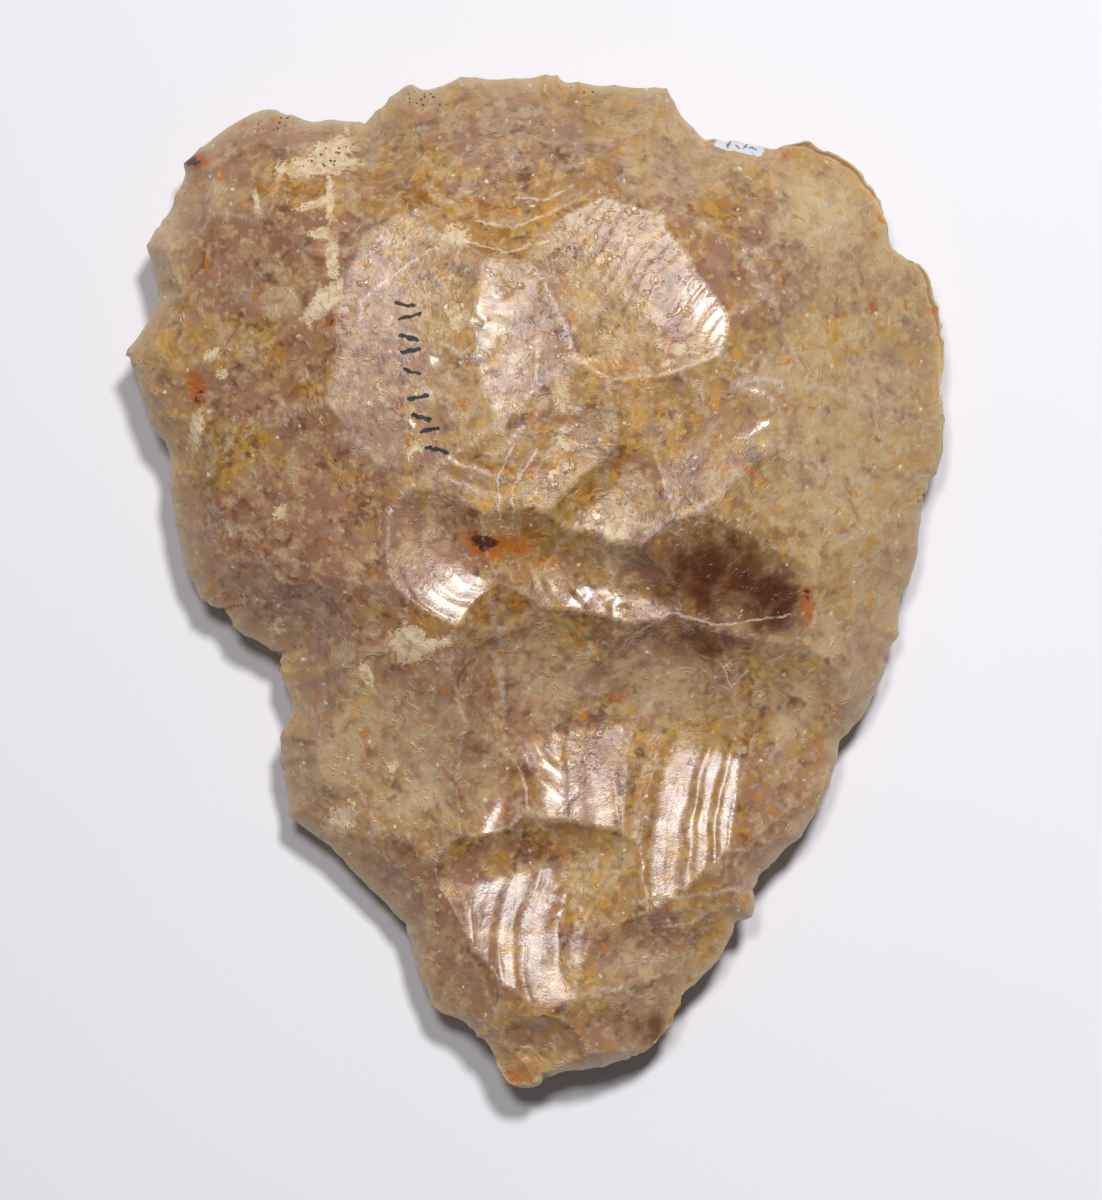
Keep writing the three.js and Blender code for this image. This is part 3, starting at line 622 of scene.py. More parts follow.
patches = {
    "mauve": [
        (-31, 33.5, 9, 7, 0.9), (-25, 3, 8, 11, 0.9), (-10.5, -15.5, 8, 7, 1), (26.5, -27, 4, 7, 0.9, -35),
        (23.5, 32.5, 9, 4.5, 0.8, -15), (10.8, -47, 4.5, 3.5, 1), (-28, 46.5, 7, 3, 0.7, 20),
        (-2, 46.5, 8, 4, 0.6), (-16, 19, 4, 10, 0.7), (36, 17, 5, 9, 0.5), (-21.5, -19, 4.5, 5.5, 1),
        (-9, -36, 5, 8, 0.8, 20), (12, -38, 6, 3, 0.6), (-30, 20, 5, 3.5, 0.6), (0.5, 29, 3, 5, 0.5),
        (-12, 3, 6, 6, 0.8), (14, -11, 6, 4, 0.6), (34.5, -14, 3, 5, 0.6, -30), (-36, 2, 4, 6, 0.6),
        (2, -12, 4, 5, 0.6), (12, 41.5, 5, 3, 0.5), (40, 30, 2.5, 4, 0.6), (22, 12, 6, 3, 0.3),
    ],
    "honey": [
        (-2, 36, 9, 6, 0.8), (-33, 12.5, 6, 4, 0.8), (2, 9, 7, 6, 0.8), (31, 24, 5, 5, 0.7), (9, 22, 5, 6, 0.6),
        (12.5, -17.5, 3.5, 2.5, 0.9), (19, -16, 4, 3, 0.7), (8, 49, 8, 3, 0.7), (-12, 40, 5, 4, 0.7),
        (6, -33, 4, 4, 0.6), (20, -37, 4, 3.5, 0.7), (25, 44, 3.5, 2, 1), (-30, 25, 5, 3, 0.6),
        (-9, 26, 6, 4, 0.7), (-27, -8, 4, 5, 0.7), (34, 3, 4, 6, 0.7), (18, 23, 5, 4, 0.4, -40),
        (-19, -13, 3, 4, 0.6), (-4.5, 14, 4, 5, 0.6), (26, 8, 4, 4, 0.5), (-24, 40, 4, 4, 0.5),
        (-37, 26, 3, 5, 0.5), (0, -52, 4, 2.5, 0.9), (-20, -27, 3, 3, 0.7), (16, 34.5, 5, 3, 0.6),
        (3.5, -7, 4, 3, 0.5), (37, 39, 3, 5, 0.6, 30), (39, 10, 3, 8, 0.6),
    ],
    "cream": [
        (29.7, 38, 5, 5, 1), (-26.7, 29.1, 2.2, 1.6, 0.75), (-12.3, -21.4, 2.4, 2.4, 0.75),
        (34.3, 15.5, 3.6, 2, 0.5), (27, -14, 4.6, 2, 0.8, 65), (8.5, 3.5, 1.8, 3, 0.7), (5, 28, 3, 3, 0.3),
        (-15, -15, 4, 2, 0.3), (8, -30, 3, 3, 0.3), (24, -40, 4, 3, 0.4), (-5, 17, 3, 3, 0.35),
        (28, 20, 3, 2.5, 0.4), (17, 2.5, 5, 2, 0.3, 15), (-39, 36, 2, 5, 0.5, 20), (-34, 40, 3, 2, 0.4),
        (32, 15, 11, 18, 0.58), (31, -6, 8, 7, 0.45), (12, -42, 8, 5, 0.25), (-15, -18, 9, 9, 0.42),
        # The last two ellipses of the next line paint the steep wall below the waist paler, a painted light against
        # the shade that falls there.
        (15, 45, 9, 5, 0.3), (36, 32, 5, 8, 0.4), (1, -9, 7, 4, 0.5, -8), (13, -11, 9, 3.4, 0.45),
        (34, -1, 5, 6, 0.4), (-16.5, 19, 3, 8, 0.15),
    ],
    "dark": [
        (18.5, 0.8, 9.2, 5.6, 0.95, -8), (24.3, -2.6, 5, 3.4, 1, -10), (18.5, -6.4, 6, 2.8, 0.75),
        (12.5, -47, 3.4, 2.6, 0.7, 20), (-27, -16, 2, 5, 0.3), (-25.5, 35.5, 4, 3, 0.35), (-30, 6, 3, 5, 0.25),
        (15, 20.5, 3, 2, 0.25), (30, -23, 2.5, 3, 0.3), (17, 7.5, 6, 3, 0.34, -10), (6, 14, 4, 6, 0.22),
        (-32, 13, 5, 3, 0.2),
    ],
    "rust": [
        (-35.6, 44, 1.5, 1.2, 1), (-35.2, 19.8, 1.4, 2.5, 0.9, 20), (-20.4, 26.8, 2.3, 0.5, 1, 24),
        (-22, 42.1, 1.1, 0.35, 0.9, 10), (-5.1, 3.8, 2.7, 1.8, 1), (-1.8, 3.3, 2.4, 1.3, 0.85, -10),
        (28.2, -2.7, 1.3, 2.6, 0.8), (22.6, 10.8, 3.2, 0.6, 0.8, -34), (35.4, 28.6, 0.7, 1.3, 0.7),
        (35.2, 36, 0.8, 0.8, 0.7), (-1.7, -52, 3, 1.3, 0.7, 10), (-32, -2, 0.9, 1.5, 0.7),
        (13.8, 24.4, 0.8, 1.6, 0.8, 10), (8.2, -12.1, 1.6, 1, 0.7), (12.9, -17.4, 1.6, 0.9, 0.5),
        (18, -15.4, 1.3, 0.9, 0.6), (36.8, -8.2, 0.7, 0.8, 0.6), (31.5, 26.5, 2, 2.6, 0.35),
        (25.9, 18.2, 3, 1.8, 0.5), (25.5, 44.4, 2, 1, 0.55), (-4, 6.5, 4.5, 2.5, 0.4),
        (-12.5, 39, 1.6, 1.2, 0.4), (-26, 24, 1.2, 1.2, 0.4), (-24, 10.5, 1.2, 0.5, 0.6),
        (30.4, -8.5, 0.4, 0.5, 0.9), (21, 7.5, 1.6, 0.8, 0.4), (-8.5, 50.5, 1, 1.4, 0.5),
        (1.8, 24.5, 0.5, 2.2, 0.4, 20), (39.5, 20, 0.8, 2.4, 0.4), (-31, 23.8, 1.4, 2, 0.35),
    ],
    "rustCore": [
        (-36, 43.9, 0.9, 0.7, 1), (-34.9, 19, 0.7, 1.3, 0.55, 20), (-20.4, 26.8, 1.6, 0.25, 0.8, 24),
        (-5.4, 4.1, 1.5, 1, 1), (28.2, -1.6, 0.6, 0.9, 0.5), (-2.5, 3.2, 1.2, 0.8, 0.4),
    ],
    "chalk": [
        (-22.7, 43.05, 4, 1.1, 1, 3), (-21.2, 45, 2.2, 1.3, 1, 10), (-22.9, 39.1, 2.1, 0.45, 0.9, 18),
        (-21.4, 39.5, 0.45, 2.4, 0.9), (-22.5, 35.9, 1.1, 0.5, 0.9, 10), (-21, 33.2, 0.55, 2.3, 0.85, 5),
        (-22.05, 28.7, 2.7, 1.1, 1, 49), (-33.5, 23.5, 0.9, 0.5, 0.95, 15), (-35.3, 15.5, 2.2, 0.7, 0.9, 76),
        (-29.1, 39.4, 1.3, 0.3, 0.8, 100), (-12.9, -6.7, 2.3, 1.6, 1, -8), (-10.2, -6.3, 2.2, 0.6, 0.65, 5),
        (-17.5, -10, 1.6, 0.5, 0.95, -68), (-26.6, 7, 0.9, 0.6, 0.7, 20), (-26.9, -5.1, 0.8, 0.9, 0.6),
        (-20.4, -25.1, 2.5, 1.5, 0.75, 40), (-14.9, -19.6, 0.6, 0.5, 0.8, 20), (8.3, 4.9, 0.9, 1.5, 0.75, -15),
        (12.3, 37.3, 0.9, 0.7, 0.75), (3, 19, 0.9, 2, 0.55), (-8.2, 26.9, 0.8, 1.2, 0.8, 20),
        (2.8, 13.7, 1.3, 0.8, 0.55), (-8.1, 35.5, 1.4, 1.1, 0.7, -20), (14.6, 23.9, 0.7, 0.5, 0.7),
        (5.2, 22.6, 2, 0.45, 0.45, -10), (-32.5, 21.5, 0.6, 0.6, 0.6), (20, -9, 0.4, 0.4, 0.5),
        (-19.8, 47.3, 0.3, 0.8, 0.5), (-12.3, 13.5, 1, 0.8, 0.5),
    ],
    "blackDots": [
        (-27, 48, 2.6, 1, 1, 10), (-21, 47.4, 0.4, 0.8, 1), (-11.5, 50.2, 3, 1.4, 1), (5, 51.5, 2.2, 0.6, 1),
        (-22, 44, 4.5, 2.2, 1), (-24, 39, 3, 2, 0.6), (-37.5, 40.5, 1.5, 2, 0.7), (30, 37, 4, 4, 0.4),
        (-12, -6.5, 2, 1.5, 0.3), (-27, 33, 6, 4, 0.3), (36, 32, 2, 3, 0.3),
    ],
    "varnish": [
        (-11, 19, 5, 9, 0.7, -8), (-6, 27, 4, 3, 0.6), (-10, 10.5, 3, 2, 1),
    ],
    "polish": [
        (15.5, -27.5, 7, 9, 1, -10), (20.5, -19, 2.5, 6, 1), (6.5, -25, 3.5, 9, 0.7, 10),
        (0.5, -18, 3, 7, 1, 10), (-4.5, -24.5, 2.6, 4, 1, -16), (-1, -27.6, 3.4, 2.6, 1),
        (-2, -38, 6.5, 10, 1, 5), (17, -35, 6, 2.4, 0.8, 8), (20.5, 28, 4.2, 8, 0.9, 25),
        (25, 17.5, 5, 3, 0.9, -20), (-8, -1.5, 4, 4, 0.9), (3.5, 3.5, 3, 3, 0.8), (5.5, -3.5, 3.4, 3.4, 1),
        (12.3, 11, 1.8, 1.4, 1), (-2, -12, 4, 5, 0.6), (8, -9, 4, 3, 0.6), (-13.5, 40, 2.4, 4, 0.7, 30),
        (-9, 30, 8, 3, 0.4), (8, 40, 8, 3, 0.3), (-2, 19, 15, 13, 0.28), (30, 13, 4, 3, 0.6),
    ],
}


# Lines where a thin ridge catches the light, painted pale there as a highlight and raised a little in the relief:
# strength, half width, then points x, y.
crestSharpness = 0.75  # share of its half width at which a line has faded by e
crestLines = [
    (0.9, 0.5, [(-18.2, 26.5), (-18, 28.8), (-16.4, 30.2)]),
    (0.8, 0.4, [(-9.7, 24.5), (-8, 23.3), (-6.5, 23), (-5, 23.3), (-3, 23.1), (-1, 24), (0, 24.6)]),
    (0.8, 0.35, [(-5.3, 12.6), (-3.5, 13.2), (-2, 14.4), (-0.9, 15.7)]),
    (0.3, 0.3, [(0, 25), (-0.3, 20), (0.2, 15), (0, 8)]),
    (0.9, 0.35, [(4.7, 6.4), (6, 6.2), (9, 5.9), (12, 5.7), (15, 6.3), (17, 7.3), (19.5, 8.6)]),
    (0.7, 0.5, [(11, 5.2), (13, 5.1), (15, 5.6)]),
    (0.45, 0.3, [(22.8, -15.5), (22.3, -18.5), (21.3, -22), (20.5, -26), (20, -31.5)]),
    (0.9, 0.3, [(10.2, -34.1), (12.1, -33.3), (15.1, -33.4), (18.5, -32.8), (22.8, -32)]),
    (0.7, 0.35, [(-2.3, -25.4), (-1.6, -24.2), (-0.6, -24.3), (0.2, -25.4), (1.2, -26)]),
    (0.8, 0.45, [(-20.4, 15), (-19.4, 14.6), (-17.6, 13.6)]),
    (0.4, 0.35, [(-29, 16.2), (-25, 18), (-22, 20), (-20, 21.5)]),
    (0.7, 0.25, [(-33.3, 7.2), (-32.6, 6.3), (-31.6, 4.5)]),
    (0.9, 0.5, [(20.5, 19.8), (22.5, 20.6), (24, 20.6), (26, 20)]),
    (0.8, 0.4, [(21.5, 19.6), (23.3, 19.2), (25.2, 18.4)]),
    (0.5, 0.3, [(20.3, 14.4), (22.5, 15.2), (24, 16.2)]), (0.8, 0.4, [(28, 14), (28.8, 14.8)]),
    (0.7, 0.45, [(28.6, 12.7), (29.6, 12.2), (30.7, 11.2)]),
    (0.5, 0.3, [(35.6, 15.6), (36.4, 14.2), (37.8, 13)]),
    (0.8, 0.4, [(15.3, 21.2), (16.2, 19.8), (17.4, 18.4)]),
    (0.6, 0.3, [(-12, 31.4), (-10.5, 31), (-8.5, 31.4)]),
    (0.5, 0.35, [(-20, 31.5), (-17.5, 33.3), (-16, 35.5)]),
    (0.6, 0.5, [(-19, 38.6), (-17.5, 37.4), (-16.6, 36.6)]),
    (0.5, 0.3, [(0.7, 1.2), (2.2, 2.6), (3.6, 4.6), (5.2, 6.2)]),
    (0.6, 0.35, [(7.3, 6), (6.8, 4), (7.4, 1.5), (8.4, -2)]),
    (0.9, 0.55, [(-4, -8.4), (-3.7, -10.5), (-3.1, -12.9)]), (0.5, 0.3, [(-4.9, -1), (-4.4, -4), (-3.4, -7.5)]),
    (0.5, 0.3, [(-1.5, -13.5), (-1.2, -11), (-0.4, -9)]), (0.7, 0.4, [(3.2, -9.6), (4.4, -8.2), (6.2, -7.6)]),
    (0.8, 0.35, [(5, -5.4), (5.6, -7), (6.4, -8.4)]), (0.6, 0.3, [(8.2, -9.5), (8.8, -8), (9.6, -6.4)]),
    (0.8, 0.35, [(5, -11.3), (5.8, -11.9), (6.6, -11.9)]),
    (0.6, 0.3, [(4, -43.6), (6.5, -42.6), (9.5, -43.2), (12.5, -44.4)]),
    (0.5, 0.3, [(10.4, -36.6), (12.6, -35.2), (15.4, -34.8), (18, -35)]),
    (0.5, 0.3, [(-8.2, -31), (-6.8, -35), (-6.4, -40), (-4.4, -45.4)]),
    (0.5, 0.35, [(25.2, -16.5), (24.6, -18.8), (25.4, -21), (27.2, -20)]), (0.6, 0.4, [(31.4, 4.6), (33, 4.4)]),
]


def crestField(x, y):
    # strongest of strength e^(-(distance / (sharpness width))^2) over the lines' segments
    field = np.zeros(len(x))
    for strength, width, line in crestLines:
        for (fromX, fromY), (toX, toY) in zip(line, line[1:]):
            dx, dy = toX - fromX, toY - fromY
            t = np.clip(((x - fromX) * dx + (y - fromY) * dy) / (dx * dx + dy * dy), 0, 1)
            gap = ((x - fromX - t * dx) ** 2 + (y - fromY - t * dy) ** 2) / (crestSharpness * width) ** 2
            field = np.maximum(field, strength * np.exp(-gap))
    return field


def patchField(rows, x, y):
    # strongest of soft ellipses, each strength e^(-r^3), their outlines made uneven by noise
    ux = x + 0.9 * lattice(x, y, 3.2, 71) + 0.35 * lattice(x, y, 1.1, 72)
    uy = y + 0.9 * lattice(x, y, 3.2, 73) + 0.35 * lattice(x, y, 1.1, 74)
    field = np.zeros(len(x))
    for placeX, placeY, along, across, strength, *turn in rows:
        angle = math.radians(turn[0] if turn else 0)
        share = min(1, 0.35 * min(along, across))
        dx = x + share * (ux - x) - placeX
        dy = y + share * (uy - y) - placeY
        u = (dx * math.cos(angle) + dy * math.sin(angle)) / along
        v = (dy * math.cos(angle) - dx * math.sin(angle)) / across
        field = np.maximum(field, strength * np.exp(-((u * u + v * v) ** 1.5)))
    return field


def plainField(x, y, seed, size, level):
    # for the underside, where nothing is placed by hand: lattice noise above a level
    noise = lattice(x, y, size, seed) * 0.7 + lattice(x, y, size / 2.3, seed + 1) * 0.4
    return np.clip((noise - level) / (1 - level), 0, 1)


# The same on the underside: seed, size and level of a noise.
underPatches = {
    "mauve": (81, 11, -0.2), "honey": (83, 9, -0.1), "cream": (85, 8, 0.35), "dark": (87, 12, 0.4),
    "rust": (89, 4, 0.6), "rustCore": (91, 2, 0.85), "chalk": (93, 5, 0.62), "blackDots": (95, 6, 0.5),
    "polish": (99, 7, 0.3),
}


def stoneFields():
    # a value at each point for all that the colours follow; near the edge e^(-distance / reach),
    # on a ridge e^(-gap between the two lowest sheets / width)
    x, y = points[:, 0], points[:, 1]
    top = np.arange(len(points)) < upperCount
    fields = {}
    for name, rows in patches.items():
        below = plainField(x, y, *underPatches[name]) if name in underPatches else 0
        fields[name] = np.where(top, patchField(rows, x, y), below)
    distance = nearestEdge(x, y)[0]
    fields["thinEdgeGlow"] = np.exp(-distance / stone["edgeGlowReach"])
    fields["ridge"] = np.exp(-ridgeGap / stone["ridgeWidth"]) * (distance > stone["ridgeFromEdge"])
    fields["upperFace"] = top.astype(float)
    shakenX, shakenY = (place + 0.25 * lattice(x, y, 1.6, seed) for place, seed in ((x, 75), (y, 76)))
    fields["crest"] = np.where(top, crestField(shakenX, shakenY), 0)
    strike = np.zeros(len(x))
    for face, scars, extra in ((top, upperList + floorList, 2), (~top, lowerList, 3)):
        for number, scar in enumerate(scars):
            mine = face & (winner == number + extra)
            strike[mine] = strikeDistance(scar, x[mine], y[mine])
    fields["strike"] = strike
    return fields


def newMesh(name, places, faces):
    # an object of that name in the scene, from its points and the point numbers of its faces
    mesh = bpy.data.meshes.new(name)
    mesh.from_pydata(places.tolist(), [], faces.tolist())
    mesh.update()
    piece = bpy.data.objects.new(name, mesh)
    scene.collection.objects.link(piece)
    return piece


handAxe = newMesh("flint_hand_axe", points * millimetre, triangles)
handAxe.data.shade_smooth()
for fieldName, values in stoneFields().items():
    attribute = handAxe.data.attributes.new(fieldName, "FLOAT", "POINT")
    attribute.data.foreach_set("value", values.astype(np.float32))
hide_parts("hand_axe")
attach(handAxe, "root")
print("stone mesh made")


class Nodes:
    # short ways to place nodes in a tree and join them
    def __init__(self, tree):
        self.tree = tree

    def add(self, kind, inputs=None, **settings):
        # a node with these settings and inputs
        node = self.tree.nodes.new(kind)
        for key, value in settings.items():
            setattr(node, key, value)
        for key, value in (inputs or {}).items():
            self.put(node.inputs[key], value)
        return node

    def put(self, socket, value):
        # a link from another node, or a constant
        if isinstance(value, bpy.types.NodeSocket):
            self.tree.links.new(value, socket)
        else:
            socket.default_value = value

    def math(self, operation, *values, clamp=False):
        node = self.add("ShaderNodeMath", operation=operation, use_clamp=clamp)
        for socket, value in zip(node.inputs, values):
            self.put(socket, value)
        return node.outputs[0]

    def chain(self, operation, first, *others):
        # one operation over any number of values, pair by pair
        for other in others:
            first = self.math(operation, first, other)
        return first

    def times(self, *values):
        return self.chain("MULTIPLY", *values)

    def plus(self, *values):
        return self.chain("ADD", *values)

    def scaled(self, value, factor, offset):
        # value times factor, plus offset
        return self.math("MULTIPLY_ADD", value, factor, offset)

    def opposite(self, value):
        # 1 - value
        return self.math("SUBTRACT", 1, value)

    def step(self, value, low, high):
        # smooth rise from 0 at low to 1 at high
        node = self.add("ShaderNodeMapRange", {"Value": value, "From Min": low, "From Max": high},
                        interpolation_type="SMOOTHSTEP")
        return node.outputs[0]

    def mix(self, share, first, second):
        # (1 - share) first + share second
        node = self.add("ShaderNodeMix", data_type="RGBA")
        self.put(node.inputs[0], share)
        self.put(node.inputs[6], first)
        self.put(node.inputs[7], second)
        return node.outputs[2]

    def noise(self, vector, size, detail=2, rough=0.5, distort=0.0):
        # noise whose features are about size millimetres
        node = self.add("ShaderNodeTexNoise", {
            "Vector": vector, "Scale": 1 / size, "Detail": detail, "Roughness": rough, "Distortion": distort,
        })
        return node.outputs[0]

    def cells(self, vector, size, channel):
        # flat cells about size millimetres wide: distance from the middle, and a random number
        node = self.add("ShaderNodeTexVoronoi", {"Vector": vector, "Scale": 1 / size}, voronoi_dimensions="2D")
        number = self.add("ShaderNodeSeparateColor", {0: node.outputs["Color"]}).outputs[channel]
        return node.outputs["Distance"], number

    def field(self, name):
        # one of the mesh's values of stoneFields
        return self.add("ShaderNodeAttribute", attribute_name=name).outputs["Fac"]


def colour(red, green, blue):
    # linear red, green and blue, opaque
    return (red, green, blue, 1)


def inMillimetres(nodes):
    # object coordinates in millimetres
    place = nodes.add("ShaderNodeTexCoord").outputs["Object"]
    return nodes.add("ShaderNodeVectorMath", {0: place, "Scale": 1000}, operation="SCALE").outputs[0]


def strokeGroup():
    # distance to the segment between two points, seen from above: reach = place - from, and
    # gap = |reach - whole (reach . whole) / (whole . whole)|, the share held between 0 and 1
    group = bpy.data.node_groups.new("pen stroke", "ShaderNodeTree")
    face = group.interface
    face.new_socket("Place", in_out="INPUT", socket_type="NodeSocketVector")
    face.new_socket("From", in_out="INPUT", socket_type="NodeSocketVector")
    face.new_socket("To", in_out="INPUT", socket_type="NodeSocketVector")
    face.new_socket("Gap", in_out="OUTPUT", socket_type="NodeSocketFloat")
    nodes = Nodes(group)
    given = nodes.add("NodeGroupInput")
    result = nodes.add("NodeGroupOutput")
    vector = lambda operation, a, b, out=0: nodes.add(
        "ShaderNodeVectorMath", {0: a, 1: b}, operation=operation).outputs[out]
    flat = vector("MULTIPLY", given.outputs["Place"], (1, 1, 0))
    reach = vector("SUBTRACT", flat, given.outputs["From"])
    whole = vector("SUBTRACT", given.outputs["To"], given.outputs["From"])
    along = nodes.math("DIVIDE", vector("DOT_PRODUCT", reach, whole, 1), vector("DOT_PRODUCT", whole, whole, 1),
                       clamp=True)
    nearest = nodes.add("ShaderNodeVectorMath", {0: whole, "Scale": along}, operation="SCALE").outputs[0]
    nodes.put(result.inputs["Gap"], vector("DISTANCE", reach, nearest, 1))
    return group


flint = {
    "mauve": colour(0.306, 0.148, 0.085),
    "mauveDark": colour(0.128, 0.046, 0.020),
    "honey": colour(0.375, 0.200, 0.049),
    "honeyDeep": colour(0.260, 0.096, 0.008),
    "pale": colour(0.565, 0.390, 0.205),
    "paleCool": colour(0.435, 0.318, 0.228),
    "cream": colour(0.615, 0.495, 0.295),
    "darkWindow": colour(0.085, 0.017, 0.003),
    "yellow": colour(0.545, 0.280, 0.044),
    "orange": colour(0.500, 0.185, 0.022),
    "rust": colour(0.400, 0.100, 0.009),
    "rustDark": colour(0.07, 0.018, 0.010),
    "chalk": colour(0.730, 0.600, 0.410),
    # near-white: painted highlight on ridges, crest lines and fine lines, and also the tiny white specks
    "crest": colour(0.85, 0.79, 0.70),
    "black": colour(0.018, 0.015, 0.014),
    "ink": colour(0.004, 0.004, 0.005),
    "label": colour(0.72, 0.74, 0.78),
    "roughness": 0.38,
    "polishedRoughness": 0.25,
    "chalkRoughness": 0.8,
    "inkRoughness": 0.6,
    "hackleSpacing": 0.62,
}

# Strokes on the upper face, from x, y to x, y. Fine lines are cracks and sharp little ridges, both drawn pale; on the
# ridges the pale line is a painted highlight.
strokeSets = {
    "pen": [
        (-14.3, 28.6, -12.6, 28.2), (-14.1, 26.9, -12, 27.4), (-13.9, 25.2, -12.4, 24.8),
        (-13.8, 23.4, -11.9, 23.8), (-13.4, 21.7, -12, 21.2), (-13, 18.6, -11.2, 19),
        (-12.6, 17, -10.9, 16.5), (-11.9, 15.2, -10, 15.6), (-11.2, 13.6, -9.2, 13.2),
    ],
    "label": [(19.4, 45.75, 23.3, 45)],
    "labelMarks": [
        (20, 45.4, 20.5, 45.9), (20.9, 45.6, 21.3, 45.2), (21.7, 45.2, 22.1, 45.6), (22.4, 45.3, 23.1, 45.1),
    ],
    "fine": [(*start, *end) for line in (
        [(-2, 39.6), (1, 39.3), (4, 40.9)], [(-6.5, 37.2), (-2.5, 36.4), (1.6, 37.9)],
        [(-7.5, 35), (-3, 33.8), (2, 35.2)], [(-2.2, 14), (-3.9, 10.5), (-3.6, 5.5)],
        [(0.3, 13.5), (-2.3, 9.5), (-2.4, 5.3)], [(-16.2, 30.4), (-10.2, 34.6)],
        [(9.4, -6.2), (14, -3.4), (19.2, -4.8), (23, -4.1), (28, -3.5)], [(19.3, -8.6), (20.4, -11.2), (22, -9.4)],
    ) for start, end in zip(line, line[1:])],
}
strokeWidths = {"pen": 0.36, "label": 1, "labelMarks": 0.16, "fine": 0.2}
strokeUneven = 0.7  # how far noise pushes a stroke about

# Pale specks inside the stone, one in each cell of a noise: cell size, how far their outline is
# pushed about, share of cells left bare, radii where they are full and where they end, strength, tone.
speckSets = [
    (1.9, 2.6, 0.45, 0.05, 0.55, 0.5, "pale"), (0.9, 1.2, 0.6, 0.05, 0.5, 0.4, "cream"),
    (2.4, 0.6, 0.7, 0.03, 0.1, 0.7, "crest"),
]


def flintMaterial():
    # tones laid over one another, each by a share made of the mesh's fields and of blotches
    material = bpy.data.materials.new("flint")
    material.use_nodes = True
    material.node_tree.nodes.clear()
    nodes = Nodes(material.node_tree)
    times, plus, scaled, opposite, step = nodes.times, nodes.plus, nodes.scaled, nodes.opposite, nodes.step
    place = inMillimetres(nodes)
    fieldNames = [*patches, "thinEdgeGlow", "ridge", "upperFace", "strike", "crest"]
    field = {name: nodes.field(name) for name in fieldNames}
    base = flint["mauve"]

    def noise(*kind):
        # noise at this place: size, detail, roughness and distortion
        return nodes.noise(place, *kind)

    def blotches(low, high, *kind):
        # smooth step of that noise from low to high
        return step(noise(*kind), low, high)

    def paint(tone, *shares):
        # lay a tone over the others, by the product of the shares
        nonlocal base
        base = nodes.mix(times(*shares), base, flint[tone])

    # mauve and honey, drifting into each other in clouds of a few millimetres
    wisps = noise(2, 3, 0.5, 0.8)
    lean = scaled(nodes.math("SUBTRACT", field["honey"], field["mauve"]), 0.5, 0.48)
    lean = plus(lean, scaled(noise(6, 3, 0.55, 0.6), 1.2, -0.6), scaled(wisps, 1.1, -0.55))
    paint("honey", step(lean, 0.3, 0.7))

    # darker and paler mottles of two sizes, then warm depth in the honey
    shade = plus(times(noise(3.2, 3, 0.5, 0.8), 0.6), times(noise(1.1, 2, 0.5, 0.7), 0.4))
    paint("mauveDark", step(shade, 0.48, 0.64), 0.8)
    paint("honeyDeep", blotches(0.49, 0.66, 3.7, 3, 0.5, 0.9), step(lean, 0.35, 0.8), 0.8)
    light = plus(times(noise(4.4, 3, 0.5, 0.7), 0.5), times(noise(1.3, 2, 0.5, 0.7), 0.5))
    light = plus(light, times(field["cream"], 0.16))
    paint("pale", step(light, 0.49, 0.66), 0.66)
    paint("paleCool", blotches(0.53, 0.72, 2.6, 2, 0.5, 0.8), 0.4)

    # cream zones, and painted light along the thin edge, paler as if shining through the stone
    paint("cream", times(field["cream"], step(wisps, 0.25, 0.6)), 0.8)
    paint("pale", field["thinEdgeGlow"], 0.5)
    paint("cream", nodes.math("POWER", field["thinEdgeGlow"], 4), 0.75)

    # dark window
    darkShare = times(field["dark"], scaled(blotches(0.3, 0.6, 3, 3, 0.55, 0.5), 0.4, 0.6))
    paint("darkWindow", step(darkShare, 0.05, 1))
    clear = opposite(step(field["dark"], 0.3, 0.9))

    # yellow and orange clots
    paint("yellow", blotches(0.53, 0.66, 1.6, 2, 0.5, 0.9), step(lean, 0.25, 0.75), clear, 0.8)
    paint("orange", blotches(0.61, 0.72, 1.4, 2, 0.5, 1), clear, 0.85)

    # pale specks inside the stone, their outlines pushed about by noise
    push = nodes.add("ShaderNodeTexNoise", {"Vector": place, "Scale": 1.3, "Detail": 2}).outputs["Color"]
    for cellSize, reach, bare, full, faded, share, tone in speckSets:
        ragged = nodes.add("ShaderNodeVectorMath", {0: push, 1: (reach,) * 3, 2: place}, operation="MULTIPLY_ADD")
        distance, number = nodes.cells(ragged.outputs[0], cellSize, 0)
        speck = opposite(step(distance, full, faded))
        paint(tone, speck, step(number, bare, bare + 0.3), share, scaled(clear, 0.93, 0.07))

    # rust, brown-black in its cores
    rustNoise = noise(0.9, 4, 0.7, 0.5)
    paint("rust", step(plus(field["rust"], scaled(rustNoise, 1.5, -0.8)), 0.2, 0.9), 0.9)
    paint("rustDark", step(plus(field["rustCore"], scaled(rustNoise, 2, -1)), 0.35, 0.75))

    # chalk, ragged and pitted, with a rusty rim
    chalkNoise = plus(times(noise(1.3, 4, 0.75, 1), 0.55), times(noise(0.4, 2, 0.7), 0.45))
    chalkSum = plus(field["chalk"], scaled(chalkNoise, 4.2, -2.1))
    chalkShare = times(step(chalkSum, 0.12, 0.5), step(field["chalk"], 0.03, 0.2))
    rustyRim = times(step(chalkSum, -0.4, 0.1), step(field["chalk"], 0.05, 0.4))
    paint("orange", rustyRim, step(rustNoise, 0.4, 0.62), 0.6)
    chalkTone = nodes.mix(blotches(0.4, 0.65, 0.8, 2, 0.6), flint["chalk"], flint["pale"])
    base = nodes.mix(times(chalkShare, 0.92), base, chalkTone)

    # pin-sized black dots
    distance, number = nodes.cells(place, 1 / 1.5, 1)
    pinGap = nodes.math("SUBTRACT", distance, times(field["blackDots"], 0.24))
    paint("black", step(number, 0.4, 0.45), opposite(step(pinGap, -0.06, 0)), 0.85)

